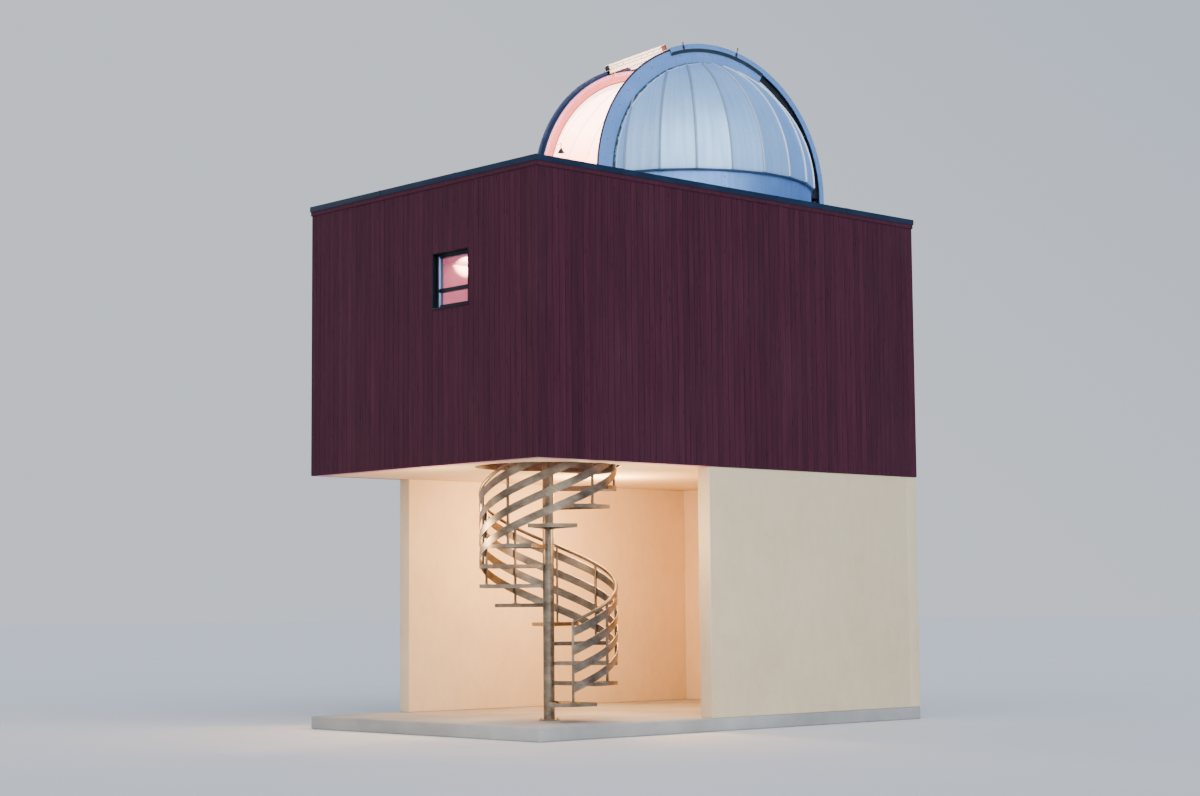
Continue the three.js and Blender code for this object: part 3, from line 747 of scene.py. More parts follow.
def addCoping():
    for name, turn in (("coping_front", 0), ("coping_right", 90), ("coping_rear", 180), ("coping_left", -90)):
        low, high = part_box(name)
        length = max(high.x - low.x, high.y - low.y)
        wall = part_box("upper_right_wall")[1].x if turn in (90, -90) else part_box("upper_rear_wall")[1].y
        trim = 2 * (-low.y - wall - cap["face"]) if turn == 0 else cap["clear"]
        parts = [painted(part, coping) for part in copingSide(length - trim, high.z)]
        for part in parts:
            part.data.transform(turnedBy(turn) @ shifted(0, -wall, 0))
        finished(name.replace("coping", "cap"), parts, "tower", [name], 40)


window = {"frame": 0.028, "sash": 0.021, "step": 0.009, "casing": 0.003, "casingOut": 0.004, "change": 0.55,
          "sillOut": 0.014, "sillThick": 0.010, "sillEar": 0.015, "lining": 0.012, "edge": 0.004}


def uprights(x0, x1, y0, y1, z0, z1, w, edge):
    return [block((x0, y0, z0), (x0 + w, y1, z1), edge), block((x1 - w, y0, z0), (x1, y1, z1), edge)]


def rails(x0, x1, y0, y1, z0, z1, w, edge):
    return [block((x0 + w, y0, z0), (x1 - w, y1, z0 + w), edge),
            block((x0 + w, y0, z1 - w), (x1 - w, y1, z1), edge)]


def picture(*size):
    # four bars round an opening
    return uprights(*size) + rails(*size)


def addWindow():
    low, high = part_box("window_frame")
    paneLow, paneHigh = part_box("window_glass_upper")
    face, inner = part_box("front_wall_left")[0].y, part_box("front_wall_left")[1].y
    middle = (paneLow.y + paneHigh.y) / 2
    bar = (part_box("window_glass_lower")[1].z, paneLow.z)
    w, edge, ear = window["frame"], window["edge"], window["sillEar"]
    x0, x1, z0, z1 = low.x + w, high.x - w, low.z + w, high.z - w
    sash = (z0, z1, window["sash"], edge)
    # black frame and rails outside of the glass, pale blue uprights as painted skylight, all inside of it
    # dark blue as painted shade
    front, back = low.y + window["step"], high.y - window["step"]
    change = front + window["change"] * (middle - front)
    tall = (low.z, high.z)
    black = picture(low.x, high.x, low.y, middle, *tall, w, 0.003) + rails(x0, x1, front, middle, *sash)
    black.append(block((x0, front, bar[0]), (x1, middle, bar[1]), edge))
    black += picture(low.x, high.x, face - window["casingOut"], low.y, *tall, window["casing"], 0.0008)
    black.append(block((low.x - ear, face - window["sillOut"], low.z - 0.004),
                       (high.x + ear, low.y, low.z + window["sillThick"]), 0.0015))
    dark = uprights(x0, x1, change, back, *sash) + rails(x0, x1, middle, back, *sash)
    dark += picture(low.x, high.x, middle, high.y, *tall, w, 0.003)
    dark += picture(low.x, high.x, high.y, inner, *tall, window["lining"], 0.001)
    dark.append(block((x0, middle, bar[0]), (x1, back, bar[1]), edge))
    parts = []
    for group, finish in ((black, blackMetal), (uprights(x0, x1, front, change, *sash), paleSashSkylight),
                          (dark, darkInsidePaintedShade)):
        parts += [painted(part, finish) for part in group]
    finished("window_frame_bars", parts, "tower", ["window_frame"], 40)
    for name in ("window_glass_lower", "window_glass_upper"):
        painted(nodes[name], glass)


stair = {"treads": 14, "turn": 38.0, "start": -40.0, "lap": 3.0, "thick": 0.042, "radius": 0.780,
         "sleeve": 0.064, "bar": (0.008, 0.095), "rows": (0.110, 0.315, 0.520, 0.725), "guard": 0.900,
         "post": 0.024, "rail": 0.021, "nosing": 0.030, "foot": 0.12, "footThick": 0.012, "boltRing": 0.092,
         "dish": 0.036, "border": 0.022, "well": 0.835}


def poleMiddle():
    low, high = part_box("stair_pole")
    return Vector(((low.x + high.x) / 2, (low.y + high.y) / 2, 0))


def helixBar(section, lift, rise, sweep, startAngle):
    # a closed section carried round and up the stair
    settle(section)
    section.data.transform(turnedBy(startAngle) @ shifted(0, 0, lift))
    steps = int(sweep / 5)
    applied(section, "SCREW", axis="Z", angle=math.radians(sweep), screw_offset=rise, steps=steps,
            render_steps=steps, use_merge_vertices=False)
    editing(section)
    bpy.ops.mesh.fill_holes(sides=0)
    tidyMesh()
    section.data.transform(shifted(*poleMiddle()))
    return section


def addStair():
    low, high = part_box("stair_pole")
    poleRadius = (high.x - low.x) / 2
    floor = low.z
    riser = (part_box("upper_floor")[1].z - floor) / stair["treads"]
    move = shifted(*poleMiddle())
    plateTop = floor + stair["footThick"]

    parts = [rod(poleRadius, (0, 0, floor), (0, 0, high.z), 48, 0.004),
             rod(stair["foot"], (0, 0, floor), (0, 0, plateTop), 48, 0.003)]
    for i in range(4):
        spot = around(stair["boltRing"], 45 + 90 * i, plateTop)
        parts.append(rod(0.010, spot, spot + Vector((0, 0, 0.012)), 6))
    for part in parts:
        painted(part, bronze).data.transform(move)
    finished("stair_column", parts, "tower", ["stair_pole"])

    # one pan tread: sector, dished underneath, with a bright nosing on its leading edge
    tread = turned(stair["sleeve"] - 0.004, stair["radius"], -stair["thick"], 0, 10, 0,
                   stair["turn"] + stair["lap"])
    facing(tread, (0, 0, -1))
    bpy.ops.mesh.inset(thickness=0.006, depth=-stair["dish"])
    bpy.ops.object.mode_set(mode="OBJECT")
    facing(tread, (0, 0, 1))
    bpy.ops.mesh.inset(thickness=stair["border"], depth=0.0)
    bpy.ops.mesh.inset(thickness=0.003, depth=-0.0025)
    bpy.ops.object.mode_set(mode="OBJECT")
    nosing = block((stair["sleeve"] + 0.03, 0.002, -0.003), (stair["radius"] - 0.03, stair["nosing"], 0.0035),
                   0.0015)
    collar = turned(poleRadius + 0.0003, stair["sleeve"], -riser + 0.0015, 0, 32, 0, 360, 0.002)
    unit = joined("tread_unit", [painted(tread, bronze), painted(nosing, ringSteel), painted(collar, bronze)])
    parts = []
    for i in range(stair["treads"]):
        turn = turnedBy(stair["start"] + i * stair["turn"])
        parts.append(copyOf(unit, move @ shifted(0, 0, floor + (i + 1) * riser) @ turn))
    bpy.data.objects.remove(unit)
    finished("stair_pan_treads", parts, "tower", ["stair_treads"])

    # guard: square posts, four flat bars and a round handrail
    parts = []
    half = stair["post"] / 2
    thick, tall = stair["bar"]
    reach = stair["radius"] - half - thick
    for i in range(stair["treads"]):
        top = floor + (i + 1) * riser
        post = block((reach - half, -half, top), (reach + half, half, top + stair["guard"] - 0.02), 0.002)
        foot = block((reach - 0.035, -0.035, top), (reach + 0.02, 0.035, top + 0.006), 0.0015)
        for part in (post, foot):
            part.data.transform(move @ turnedBy(stair["start"] + (i + 0.5) * stair["turn"]))
        parts += [post, foot]
    climb = (riser * (stair["treads"] - 1), stair["turn"] * (stair["treads"] - 1),
             stair["start"] + stair["turn"] / 2)
    for row in stair["rows"]:
        section = rectangle((stair["radius"] - thick / 2, 0, tall / 2), thick, tall)
        parts.append(helixBar(section, floor + riser + row, *climb))
    clearSelection()
    bpy.ops.mesh.primitive_circle_add(vertices=14, radius=stair["rail"], rotation=(math.pi / 2, 0, 0),
                                      location=(stair["radius"] - 0.014, 0, stair["guard"] - stair["rail"]))
    parts.append(helixBar(bpy.context.object, floor + riser, *climb))
    finished("stair_guard_bars", [painted(part, bronze) for part in parts], "tower",
             ["stair_guard"])


curb = {"inner": 1.500, "outer": 1.612, "apron": 1.620, "apronDrop": 0.012}
roof = {"skin": 0.030, "ringLift": 0.004, "turnUp": 0.006, "lift": 0.0005, "clear": 0.002}


def slabWithWell(low, high, centre, radius, trim, topPaint, underPaint, ringPaint):
    # upper skin, lower skin, a smooth round well through both and the ring that lines it
    middle = high.z - roof["skin"]
    made = []
    for z0, z1, paint in ((low.z, middle, underPaint), (middle, high.z, topPaint)):
        slab = block((low.x, low.y, z0), (high.x, high.y, z1))
        cutter = rod(radius, (centre.x, centre.y, z0 - 0.1), (centre.x, centre.y, z1 + 0.1), 96)
        made.append(painted(carved(slab, cutter), paint))
    ring = turned(radius - trim, radius, low.z, high.z + roof["ringLift"], edge=0.0015)
    ring.data.transform(shifted(centre.x, centre.y, 0))
    return made + [painted(ring, ringPaint)]


def addFloors():
    made = slabWithWell(*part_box("upper_floor"), poleMiddle(), stair["well"], 0.006, timber, cream, bronze)
    finished("room_floor", made, "tower", ["upper_floor"], 40)
    low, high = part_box("roof_deck")
    made = slabWithWell(low, high, hub, curb["inner"], 0.004, felt, lining, lining)
    # felt dressed up the inside of the parapets, up to the caps
    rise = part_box("coping_front")[1].z - cap["drop"] - roof["clear"]
    foot, t = high.z + roof["lift"], roof["turnUp"]
    turnUp = uprights(low.x, high.x, low.y, high.y, foot, rise, t, 0.001)
    for y in (low.y, high.y - t):
        turnUp.append(block((low.x + t + 0.001, y, foot), (high.x - t - 0.001, y + t, rise), 0.001))
    made += [painted(part, felt) for part in turnUp]
    finished("flat_roof", made, "tower", ["roof_deck"], 40)


def addCurb():
    # timber upstand with felt dressed up its outside
    low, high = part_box("dome_curb")
    upstand = turned(curb["inner"], curb["outer"], low.z, high.z, edge=0.003)
    apron = turned(curb["outer"], curb["apron"], low.z, high.z - curb["apronDrop"], edge=0.002)
    parts = [painted(upstand, timber), painted(apron, felt)]
    for part in parts:
        part.data.transform(shifted(hub.x, hub.y, 0))
    finished("curb_ring", parts, "tower", ["dome_curb"], 40)


roller = {"count": 10, "radius": 0.026, "length": 0.050, "middle": 1.560, "plate": 0.006, "axle": 0.036,
          "ring": (1.515, 1.605), "pin": 0.007, "pinOut": 0.016, "fork": 0.005, "forkHalf": 0.016,
          "forkRise": 0.012}


def addRollers():
    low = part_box("dome_rollers")[0].z
    axle = low + roller["axle"]
    ring = painted(turned(*roller["ring"], low, low + roller["plate"], edge=0.001), railMetal)
    ring.data.transform(shifted(hub.x, hub.y, 0))
    half, middle, thick, wide = roller["length"] / 2, roller["middle"], roller["fork"], roller["forkHalf"]
    pinHalf = half + roller["pinOut"]
    wheel = rod(roller["radius"], (middle - half, 0, axle), (middle + half, 0, axle), 32, 0.003)
    pin = rod(roller["pin"], (middle - pinHalf, 0, axle), (middle + pinHalf, 0, axle))
    parts = [painted(wheel, ringSteel), painted(pin, railMetal)]
    for side in (-1, 1):
        x = middle + side * (half + thick)
        fork = block((x - thick, -wide, low + 0.003), (x + thick, wide, axle + roller["forkRise"]), 0.003)
        parts.append(painted(fork, railMetal))
    unit = joined("roller_unit", parts)
    made = [ring]
    for i in range(roller["count"]):
        made.append(copyOf(unit, shifted(hub.x, hub.y, 0) @ turnedBy(360 * i / roller["count"])))
    bpy.data.objects.remove(unit)
    finished("roller_ring", made, "tower", ["dome_rollers"], 40)


rearNormal = bentOut(0, 1, slot["end"] - 90)


def goreShell(lift=0.0):
    # upper half of a ball with flat gores, seams at the ends of the flats
    clearSelection()
    bpy.ops.mesh.primitive_uv_sphere_add(segments=gore["count"], ring_count=gore["rings"],
                                         radius=gore["radius"] + lift)
    return cutAway(bpy.context.object, (0, 0, 0), (0, 0, -1), False)


def goreHeight(x, y):
    # height of the flat-gored shell over a point in plan
    step = 2 * math.pi / gore["count"]
    flat = math.cos(step / 2) / math.cos(math.atan2(y, x) % step - step / 2)
    reach = math.hypot(x, y) / flat
    return math.sqrt(max(0.0, gore["radius"] ** 2 - reach * reach))


def seamBars():
    # standing seams of all gores, dull in front and bright behind, shared out to the parts of the shell; the
    # bright seams behind are a painted highlight, the dull ones in front painted shade
    step = 360 / gore["count"]
    right, rear = [], []
    w, r, side = gore["seamWidth"] / 2, gore["radius"], slot["side"]
    for i in range(gore["count"]):
        turn = -180 + i * step
        # painted highlight: the tone rises towards the rear, so seams behind read bright and those in front
        # dull as painted shade
        back = (1 - math.cos(math.radians(turn))) / 2
        bar = swept(-w, w, r - 0.006, r + gore["seamLift"], 0.4, 88, 60, 0.003)
        painted(bar, seamSheetPaintedLight, min(1, max(0, 3 * back - 1))).data.transform(turnedBy(turn))
        right.append(between(copyOf(bar), side + 0.001))
        rear.append(cutAway(between(bar, -side, side), (0, 0, 0), rearNormal))
    kept = [[bar for bar in bars if bar.data.polygons] for bars in (right, rear)]
    for bar in right + rear:
        if not bar.data.polygons:
            bpy.data.objects.remove(bar)
    return kept


def goreToneAndPaintedLight(piece):
    # one shade for each gore, brighter beside the slot than behind it: painted light and painted shade for
    # how the light falls, with a little random tone on each
    step = 360 / gore["count"]
    shades = []
    for i in range(gore["count"]):
        lit = max(0.0, math.cos(math.radians((i + 0.5) * step + 22)))
        shades.append(0.30 + 0.60 * lit * lit + random.uniform(-0.07, 0.07))
    layer = piece.data.attributes.new("tone", "FLOAT", "FACE")
    for face in piece.data.polygons:
        turn = math.degrees(math.atan2(face.center.y, face.center.x)) % 360
        layer.data[face.index].value = shades[int(turn / step) % gore["count"]]
    return piece


def sheetOf(shell):
    # gives the shell its thickness inwards, with the inner side as a second finish
    shell.data.materials.append(shellMetal)
    shell.data.materials.append(innerMetal)
    return applied(shell, "SOLIDIFY", thickness=gore["sheet"], offset=-1, use_even_offset=True,
                   material_offset=1, material_offset_rim=0)


def addGores():
    radius, count, top, side = gore["radius"], gore["count"], gore["flange"], slot["side"]
    edge, lapEnd, rim = side + slot["gap"], side + gore["lap"], radius + gore["rim"]
    flange = [painted(turned(gore["foot"], rim, 0.0, top, count), girderMetal, 0.4),
              # the drip edge in dark navy as painted shade under the flange
              painted(turned(radius, rim, -gore["drip"], top, count), trackAndShadeNavy, 0.4)]
    rightSeams, rearSeams = seamBars()

    parts = [sheetOf(goreToneAndPaintedLight(between(goreShell(), edge, fill=False)))]
    parts += [between(copyOf(part), edge) for part in flange]
    # the sealant along the girder and the bead beside it, painted near white as a painted highlight
    for x0, x1, lift, metal in ((edge, lapEnd, 0.0012, joint),
                                (lapEnd, lapEnd + gore["bead"], 0.0020, seamSheetPaintedLight)):
        strip = between(goreShell(lift), x0, x1, False)
        parts.append(painted(applied(strip, "SOLIDIFY", thickness=0.003, offset=1), metal, 0.9))
    parts += rightSeams
    line = edge + gore["boltLine"]
    seal = [bentOut(line, math.sqrt(radius ** 2 - line ** 2), 2 + 3.42 * i) for i in range(52)]
    for spot in seal:
        spot.z = goreHeight(line, spot.y)
    parts += bolts(0.0085, 0.006, [(spot * 1.0015, spot) for spot in seal if spot.z > 0.02], railMetal)
    foot = [around(gore["footBolts"], -85 + 5 * i, top) for i in range(36)]
    foot = [spot for spot in foot if spot.x > edge + 0.03 and goreHeight(spot.x, spot.y) < 0.3]
    parts += bolts(0.0065, 0.005, [(spot, (0, 0, 1)) for spot in foot], boltSteel)
    bothSides("shell", parts, "dome", "gores", 6)

    rear = cutAway(between(goreShell(), -side, side, False), (0, 0, 0), rearNormal, False)
    parts = [sheetOf(goreToneAndPaintedLight(rear))]
    parts += [cutAway(between(part, -side, side), (0, 0, 0), (0, -1, 0)) for part in flange]
    parts += rearSeams
    for way in (-1, 1):
        # kerbs along the slot's rear edges, painted near white as a painted highlight
        kerb = swept(*pair(way, side, side - slot["kerbWide"]), slot["kerbFoot"], slot["kerb"],
                     slot["end"] + 0.3, 179.0, 60, 0.002)
        parts.append(painted(kerb, seamSheetPaintedLight, 0.9))
    finished("shell_rear", parts, "dome", ["gores_rear"], 6, True)


skirt = {"radius": 1.665, "sheet": 0.004, "low": -0.485, "high": -0.001, "ring": -0.305, "hem": 0.012,
         "laps": (-58, -18, 22, 62, 102, 142, 182, 222), "lapHalf": 1.2, "lapThick": 0.002, "bolts": 4,
         "firstBolt": 0.06, "boltStep": 0.115, "ringInner": 1.500, "ringOuter": 1.656, "ringDeep": 0.060}


def addSkirt():
    r, low, top = skirt["radius"], skirt["low"], skirt["high"]
    inner, out, reach = r - skirt["sheet"], r + skirt["lapThick"], slot["side"] + slot["gap"]
    wall = carved(turned(inner, r, low, top, 144), block((-reach, -2, skirt["ring"]), (reach, 0, 0.1)))
    hem = turned(inner, r + 0.003, low, low + skirt["hem"], 144, edge=0.002)
    parts = [painted(wall, girderMetal, 0.10), painted(hem, girderMetal, 0.3)]
    places = []
    for turn in skirt["laps"]:
        strap = turned(r, out, low + 0.014, top - 0.024, 3, turn - skirt["lapHalf"], 2 * skirt["lapHalf"])
        parts.append(painted(strap, girderMetal, 0.25))
        heights = [low + skirt["firstBolt"] + skirt["boltStep"] * i for i in range(skirt["bolts"])]
        places += [(around(out, turn, z), around(1, turn)) for z in heights]
    parts += bolts(0.008, 0.006, places, boltSteel)
    finished("skirt_wall", parts, "dome", ["dome_skirt"], 25, True)
    ring = turned(skirt["ringInner"], skirt["ringOuter"], skirt["ring"] - skirt["ringDeep"], skirt["ring"],
                  edge=0.004)
    finished("running_ring", [painted(ring, ringSteel)], "dome", ["base_ring"], 40, True)


def archPlate(x0, x1, r0, r1, edge=0.0015):
    # plate that stands up from the ring and bends back over the slot
    bend = swept(x0, x1, r0, r1, 0, slot["end"], 96)
    leg = block((x0, -r1, slot["legFoot"]), (x1, -r0, 0.0))
    plate = joined("plate", [bend, leg])
    editing(plate)
    tidyMesh(True)
    return roundOff(plate, edge, 1, 40)


def addGirders():
    t, side, near, track, web, end = [slot[key] for key in ("sheet", "side", "open", "track", "web", "end")]
    far, top = side - t, slot["top"]
    skin = far - 0.0012
    # strip that closes the corner between the leg and the skirt
    corner = block((far, -slot["plateFoot"] - 0.001, slot["legFoot"]), (side, -slot["cornerEnd"], -0.001),
                   0.0005)
    groups = ((girderMetal, archPlate(far, side, slot["plateFoot"], top)),
              (girderMetal, archPlate(near + t, far, track - t, track, 0.001)),
              (girderMetal, swept(near + t, far, web, track - t, end - 0.3, end, 1)),
              (girderMetal, corner),
              # the slot's web in pink painted lamplight and shade
              (webSheetLampAndShade, archPlate(near, near + t, web, track)),
              # the stiffener in lilac painted light
              (lilacSheetPaintedLight, swept(near - 0.008, near, slot["stiffener"], track, 0.5, end - 3.5, 96, 0.0015)),
              # warm lining of the outer plate, under the web's edge
              (innerMetal, swept(skin, far, slot["plateFoot"] + 0.001, web - 0.001, 0.2, end - 0.5, 96)),
              # the track in its channel, the bead along the web's lower edge and the trim on the outer plate
              (trackAndShadeNavy, swept(near + 0.001, skin, track, track + 0.0015, 0.2, end - 0.5, 96)),
              # painted shade: the outer plate's inner face above the track in dark navy, as the channel's
              # shade
              (trackAndShadeNavy, swept(skin, far, track, top - 0.002, 0.2, end - 0.5, 96)),
              (deadBrown, swept(near - 0.003, near + 0.016, web - 0.010, web, 0, end, 96, 0.001)),
              (deadBrown, archPlate(side, side + 0.0008, top - 0.0005 - slot["trim"], top - 0.0005, 0.0002)))
    parts = [painted(part, metal, 0.5) for metal, part in groups]
    places = [(bentOut(x, slot["boltLine"], 6 + 8.3 * i), (way, 0, 0))
              for x, way in ((side, 1), (near, -1)) for i in range(14)]
    parts += bolts(0.0065, 0.005, places, boltSteel)
    bothSides("slot_arch", parts, "dome", "girder", 25)


ends = {"bar": (1.660, 1.730), "barLong": 3.0, "corner": (1.585, 1.662), "cornerIn": 0.42, "shell": 1.655,
        "sill": (-1.655, -1.615), "lipOut": -1.672, "lip": -0.028, "sillTop": -0.016,
        "rail": (0.640, 0.680), "railFoot": 1.583, "railEnd": 179.7}


def addSlotEnds():
    edge, end, sillTop = slot["open"] - slot["gap"], slot["end"], ends["sillTop"]
    parts = [swept(-edge, edge, *ends["bar"], end - ends["barLong"], end, 3, 0.004)]
    out = bentOut(0, 1, end)
    for side in (-1, 1):
        # corner plate, its lower edge along the shell
        inward = Vector((side * ends["cornerIn"], 0, 0))
        corner = swept(*pair(side, ends["cornerIn"], edge), *ends["corner"], end - 0.4, end, 1)
        parts.append(cutAway(corner, out * ends["shell"] + inward, -out - Vector((side * 0.32, 0, 0))))
    finished("slot_cross_bar", [painted(part, girderMetal, 0.5) for part in parts], "dome",
             ["slot_rear_cross"], 40, True)
    back, front = ends["sill"][1], ends["sill"][0]
    parts = [block((-edge, front, slot["legFoot"]), (edge, back, sillTop), 0.003),
             block((-edge, ends["lipOut"], ends["lip"]), (edge, front, sillTop), 0.002)]
    finished("slot_sill_box", [painted(part, girderMetal, 0.5) for part in parts], "dome",
             ["slot_sill"], 40, True)
    rail = swept(*ends["rail"], ends["railFoot"], slot["track"], end + 0.03, ends["railEnd"], 60, 0.003)
    bothSides("rear_plate", [painted(rail, railMetal)], "dome", "rear_rail")


shutter = {"front": 68.0, "rear": 183.0, "half": 0.715, "top": 1.791, "skirt": 1.715, "sheet": 0.003,
           "ribs": 10, "ribStep": 11.2, "ribHalf": 0.600, "ribLow": 1.738, "laps": (92, 120, 148),
           "lapThick": 0.0018, "plateTop": 1.852, "plateHalf": 0.660, "plateFoot": 1.781, "plateAngle": 0.26,
           "shadedEndStart": 0.566, "folds": (1.786, 1.824), "boltRow": 1.805, "sideBolts": 1.774, "lid": 1.7785,
           "seal": (1.690, 1.716), "sealShadeStrip": (1.712, 1.731), "frontSeal": 1.722, "stringer": 0.020,
           "runner": (0.645, 0.675), "runnerGap": 0.0065}


def addShutter():
    low, high, half, end = shutter["front"], shutter["rear"], shutter["half"], slot["end"]
    top, t, foot = shutter["top"], shutter["sheet"], shutter["skirt"]
    lapTop = top + shutter["lapThick"]
    parts = [swept(-half, half, top - t, top, low, high, 115, 0.0012)]
    for side in (-1, 1):
        parts += [swept(*pair(side, half, half - t), foot, top - t / 2, low, high, 115, 0.001),
                  swept(*pair(side, half, half - 0.007), foot, foot + 0.007, low, high, 115, 0.001)]
    for angle in shutter["laps"]:
        parts.append(swept(-half + 0.002, half - 0.002, top, lapTop, angle - 0.6, angle + 0.6, 2, 0.0006))
    parts = [painted(part, shutterMetal, 0.3) for part in parts]
    for side in (-1, 1):
        # rubber hung over the girder, under a dark strip on the skirt's outer face that is painted shade of
        # the gap beneath the skirt
        rubber = swept(*pair(side, half - 0.0025, half - 0.0090), *shutter["seal"], low, end, 50, 0.001)
        strip = swept(*pair(side, half, half + 0.0015), *shutter["sealShadeStrip"], low + 0.2, end, 50, 0.0005)
        parts += [painted(part, blackRubberAndShade) for part in (rubber, strip)]
    places = []
    for angle in shutter["laps"]:
        row = [-half + 0.06 + (2 * half - 0.12) * i / 11 for i in range(12)]
        places += [(bentOut(x, lapTop, angle), bentOut(0, 1, angle)) for x in row]
    for side in (-1, 1):
        places += [(bentOut(side * half, shutter["sideBolts"], low + 3 + 5.8 * i), (side, 0, 0))
                   for i in range(20)]
    parts += bolts(0.006, 0.004, places, boltSteel)
    finished("shutter_sheet", parts, "shutter", ["shutter_panel"], 25, True)

    under = top - t - slot["gap"]
    wide, deep = shutter["ribHalf"], shutter["ribLow"]
    parts = [swept(-wide, wide, deep, under, low + 0.1, low + 0.5, 1, 0.001),
             swept(-wide, wide, deep, deep + 0.004, low + 0.1, low + 1.4, 2, 0.001),
             swept(-half + 0.004, half - 0.004, shutter["lid"], under, low + 0.1, low + 0.4, 1, 0.001)]
    for i in range(1, shutter["ribs"] + 1):
        a = low + i * shutter["ribStep"]
        parts += [swept(-wide, wide, deep, under, a, a + 0.12, 1, 0.0006),
                  swept(-wide, wide, deep, deep + 0.003, a, a + 0.95, 1, 0.0006)]
    last = low + shutter["ribs"] * shutter["ribStep"] + 0.8
    for side in (-1, 1):
        stringer = pair(side, wide, wide - shutter["stringer"])
        parts.append(swept(*stringer, under - 0.022, under, low + 0.1, last, 110, 0.001))
    parts = [painted(part, innerMetal, 0.6) for part in parts]
    for side in (-1, 1):
        seal = swept(*pair(side, half - 0.002, half - 0.012), shutter["frontSeal"], under, low + 0.05,
                     low + 1.6, 2, 0.002)
        parts.append(painted(seal, blackRubberAndShade))
    finished("shutter_ribs", parts, "shutter", ["shutter_frame"], 25, True)

    strip = swept(*shutter["runner"], slot["track"] + shutter["runnerGap"], under, low + 1.5, high - 0.1, 100,
                  0.001)
    bothSides("runner_strip", [painted(strip, nylon)], "shutter", "shutter_runner")


pull = {"middle": -0.545, "half": 0.034, "foot": 1.690, "rod": 0.0085, "angle": 68.25, "draw": 0.7}


def pullHandle():
    # bent rod under the plate's left end
    heads = [bentOut(pull["middle"] + s * pull["half"], shutter["ribLow"] + 0.002, pull["angle"])
             for s in (-1, 1)]
    feet = [bentOut(pull["middle"] + s * pull["half"] * pull["draw"], pull["foot"], pull["angle"])
            for s in (-1, 1)]
    return [rod(pull["rod"], start, end, 12, 0.001) for start, end in (*zip(heads, feet), feet)]


def addFrontPlate():
    # folded plate across the front edge, with its ends over the girders painted dark as painted shade
    first = shutter["front"] - 0.02
    start = first - shutter["plateAngle"] + 0.01
    half, wide, top = shutter["plateHalf"], shutter["shadedEndStart"], shutter["plateTop"]
    folds = [shutter["ribLow"], *shutter["folds"], top]
    parts = []
    # each strip further out painted a step lighter than the one inside it, as painted light
    for i in range(3):
        lean = start + 0.04 * (2 - i)
        strip = swept(-wide, wide, folds[i] + 0.004, folds[i + 1] - 0.004, lean, first, 1, 0.001)
        # the creases in the web's dark pink as painted shade in the folds
        crease = swept(-wide, wide, folds[i] - 0.004, folds[i] + 0.004, lean + 0.10, first, 1)
        parts += [painted(strip, plateSheetLamplit, 0.3 + 0.3 * i), painted(crease, webSheetLampAndShade, 0.3)]
    lip = swept(-half, half, top - 0.005, top, start, shutter["front"] + 0.35, 1, 0.001)
    parts.append(painted(lip, plateSheetLamplit, 0.8))
    # painted shade: the ends over the girders, black at the far end and brown at the near end
    for side, metal in ((-1, blackMetal), (1, brownPaintedShade)):
        capped = swept(*pair(side, wide, half), shutter["plateFoot"], top - 0.005, start, first, 1, 0.0015)
        parts.append(painted(capped, metal))
    lean = start + 0.04
    row = [bentOut(-0.52 + 0.13 * i, shutter["boltRow"], lean) for i in range(9)]
    parts += bolts(0.006, 0.004, [(spot, bentOut(0, 1, lean - 90)) for spot in row], boltSteel)
    parts += [painted(part, brass) for part in pullHandle()]
    finished("front_plate", parts, "shutter", ["shutter_front_plate"], 25, True)


hooks = {"eye": (75.0, 1.826), "hook": (102.5, 1.852)}    # angle and top of each
hookPlate = {"low": 1.728, "high": 1.783, "half": 0.53, "thick": 0.003, "stemFoot": 1.740,
             "boltRows": (1.738, 1.773), "boltLean": 0.33}


def addHooks():
    # plates on the shutter's side sheets, one pair with a ring and one with a bent rod
    near = shutter["half"] + slot["gap"]
    x, face, stemFoot = near + 0.003, near + hookPlate["thick"], hookPlate["stemFoot"]
    for kind, (mid, top) in hooks.items():
        parts = [swept(near, face, hookPlate["low"], hookPlate["high"], mid - hookPlate["half"],
                       mid + hookPlate["half"], 4, 0.001)]
        if kind == "eye":
            parts.append(rod(0.0045, bentOut(x, stemFoot, mid), bentOut(x, top - 0.030, mid), 12))
            clearSelection()
            bpy.ops.mesh.primitive_torus_add(major_radius=0.013, minor_radius=0.0035, major_segments=24,
                                             minor_segments=10)
            ring = bpy.context.object
            ring.rotation_euler.y = math.pi / 2
            ring.location = bentOut(x, top - 0.0165, mid)
            parts.append(settle(ring))
        else:
            parts.append(rod(0.005, bentOut(x, stemFoot, mid), bentOut(x, top - 0.002, mid), 12, 0.001))
            tip, head = bentOut(0, 1, mid + 90), bentOut(x, top - 0.008, mid)
            parts.append(rod(0.0045, head - tip * 0.012, head + tip * 0.018, 12, 0.001))
        for part in parts:
            painted(part, railMetal)
        places = [(bentOut(face, row, mid + lean), (1, 0, 0)) for row in hookPlate["boltRows"]
                  for lean in (-hookPlate["boltLean"], hookPlate["boltLean"])]
        parts += bolts(0.005, 0.003, places, ringSteel)
        bothSides(kind + "_plate", parts, "shutter", "shutter_" + kind)


bell = {"foot": (-0.600, -1.418, 0.488), "radius": 0.043, "height": 0.058, "stem": 0.066, "neck": 0.35}


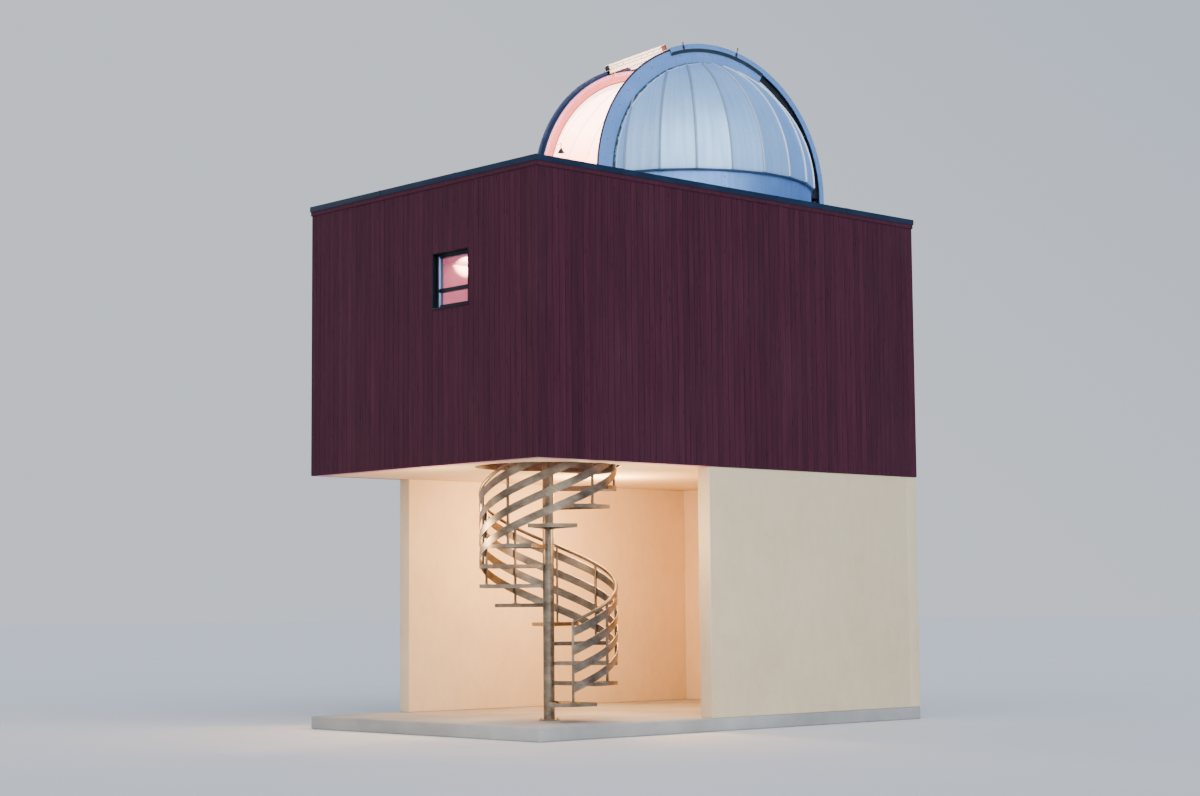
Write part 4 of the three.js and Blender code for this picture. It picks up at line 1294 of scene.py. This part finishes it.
def addBell():
    # small bell-shaped fitting on a stem, held off the far girder's side plate
    foot = Vector(bell["foot"])
    up = Vector((0, 0, 1))
    middle, top = foot + up * (bell["height"] / 2), foot + up * (bell["height"] + bell["stem"])
    clearSelection()
    bpy.ops.mesh.primitive_cone_add(vertices=24, radius1=bell["radius"], depth=bell["height"],
                                    radius2=bell["radius"] * bell["neck"], location=middle)
    cup = roundOff(settle(bpy.context.object), 0.006, 3, 40)
    hold = top - up * 0.004
    parts = [cup, rod(0.006, middle, top, 12), rod(bell["radius"] * 1.06, foot, foot + up * 0.006, 24, 0.002),
             rod(0.003, hold, (slot["sheet"] - slot["side"], hold.y, hold.z), 10)]
    parts = [painted(part, railMetal) for part in parts]
    finished("slot_bell_fitting", parts, "dome", angle=40, local=True)


addGroundStorey()
addWalls()
addCoping()
addWindow()
print("tower dressed")
addStair()
print("stair dressed")
addFloors()
addCurb()
addRollers()
print("roof dressed")
addGores()
print("gores dressed")
addSkirt()
addGirders()
addSlotEnds()
print("slot dressed")
addShutter()
addFrontPlate()
addHooks()
addBell()
print("shutter dressed")


def addLight(kind, name, spot, power, colour, way=None, **settings):
    clearSelection()
    bpy.ops.object.light_add(type=kind, location=spot)
    light = bpy.context.object
    light.name = name
    light.visible_camera = False
    light.data.energy = power
    light.data.color = colour
    for key, value in settings.items():
        setattr(light.data, key, value)
    if way:
        light.rotation_euler = Vector(way).to_track_quat("-Z", "Y").to_euler()


daylight = (0.88, 0.94, 1.0)
aim = Vector((0, 0, 4.5))
suns = {"key": ((18.0, -6.3, 16.0), 2.3, 60.0), "fill": ((8.0, -18.0, 9.0), 1.2, 80.0),
        "rim": ((-10.0, 16.0, 16.0), 0.15, 60.0)}
for name, (spot, power, spread) in suns.items():
    addLight("SUN", name + "_light", spot, power, daylight, aim - Vector(spot), angle=math.radians(spread))

# lamps in the rooms and in the dome, the dome's placed in its own turned frame
turnDome = Matrix.Translation(hub) @ Matrix.Rotation(domeTurn, 4, "Z")
glows = {"slot": (turnDome @ Vector((0.12, -0.85, -0.24)), 0.10, 420.0, (1.0, 0.66, 0.52)),
         "dome": (turnDome @ Vector((0.10, 0.45, 0.10)), 0.30, 950.0, (1.0, 0.70, 0.60)),
         "room": ((-0.90, -1.60, 5.10), 0.12, 15.0, (1.0, 0.62, 0.80)),
         "ground": ((-0.2, -0.2, 2.55), 0.35, 430.0, (1.0, 0.60, 0.28)),
         "porch": ((0.10, -3.00, 2.25), 0.18, 80.0, (1.0, 0.68, 0.38)),
         "corner": ((1.95, -1.30, 2.25), 0.18, 50.0, (1.0, 0.68, 0.38))}
for name, (spot, size, power, colour) in glows.items():
    addLight("POINT", name + "_glow", spot, power, colour, shadow_soft_size=size)

# round glow high on the room's left wall, as the window shows it
addLight("SPOT", "wall_glow", (-0.995, -1.616, 5.610), 3800.0, (1.0, 0.80, 0.36), (-0.765, 0.625, 0.156),
         spot_size=math.radians(20), spot_blend=1.0, shadow_soft_size=0.02)
# lamp inside the slot that lights the shutter's front plate
addLight("SPOT", "plate_glow", turnDome @ Vector((0.10, -1.42, 0.60)), 190.0, (1.0, 0.86, 0.68),
         turnDome.to_3x3() @ Vector((-0.10, 0.75, 1.15)),
         spot_size=math.radians(64), spot_blend=0.5, shadow_soft_size=0.05)

# pale all round, bluer overhead and to the right
world = bpy.context.scene.world or bpy.data.worlds.new("studio")
bpy.context.scene.world = world
world.use_nodes = True
tree = world.node_tree
where, height, shade = [tree.nodes.new("ShaderNode" + kind)
                        for kind in ("TexCoord", "VectorMath", "ValToRGB")]
height.operation = "DOT_PRODUCT"
height.inputs[1].default_value = (0.45, 0.48, 0.75)
setStops(shade.color_ramp, ((0.15, (0.78, 0.83, 0.90)), (0.80, (0.30, 0.45, 0.78))))
backdrop = tree.nodes["Background"]
backdrop.inputs["Strength"].default_value = 0.95
tree.links.new(where.outputs["Generated"], height.inputs[0])
tree.links.new(height.outputs["Value"], shade.inputs["Fac"])
tree.links.new(shade.outputs["Color"], backdrop.inputs["Color"])

floor = rectangle((0, 0, -0.002), 400, 400, False)
floor.name = "studio_floor"
painted(floor, studioFloor())
print("lights and floor ready")
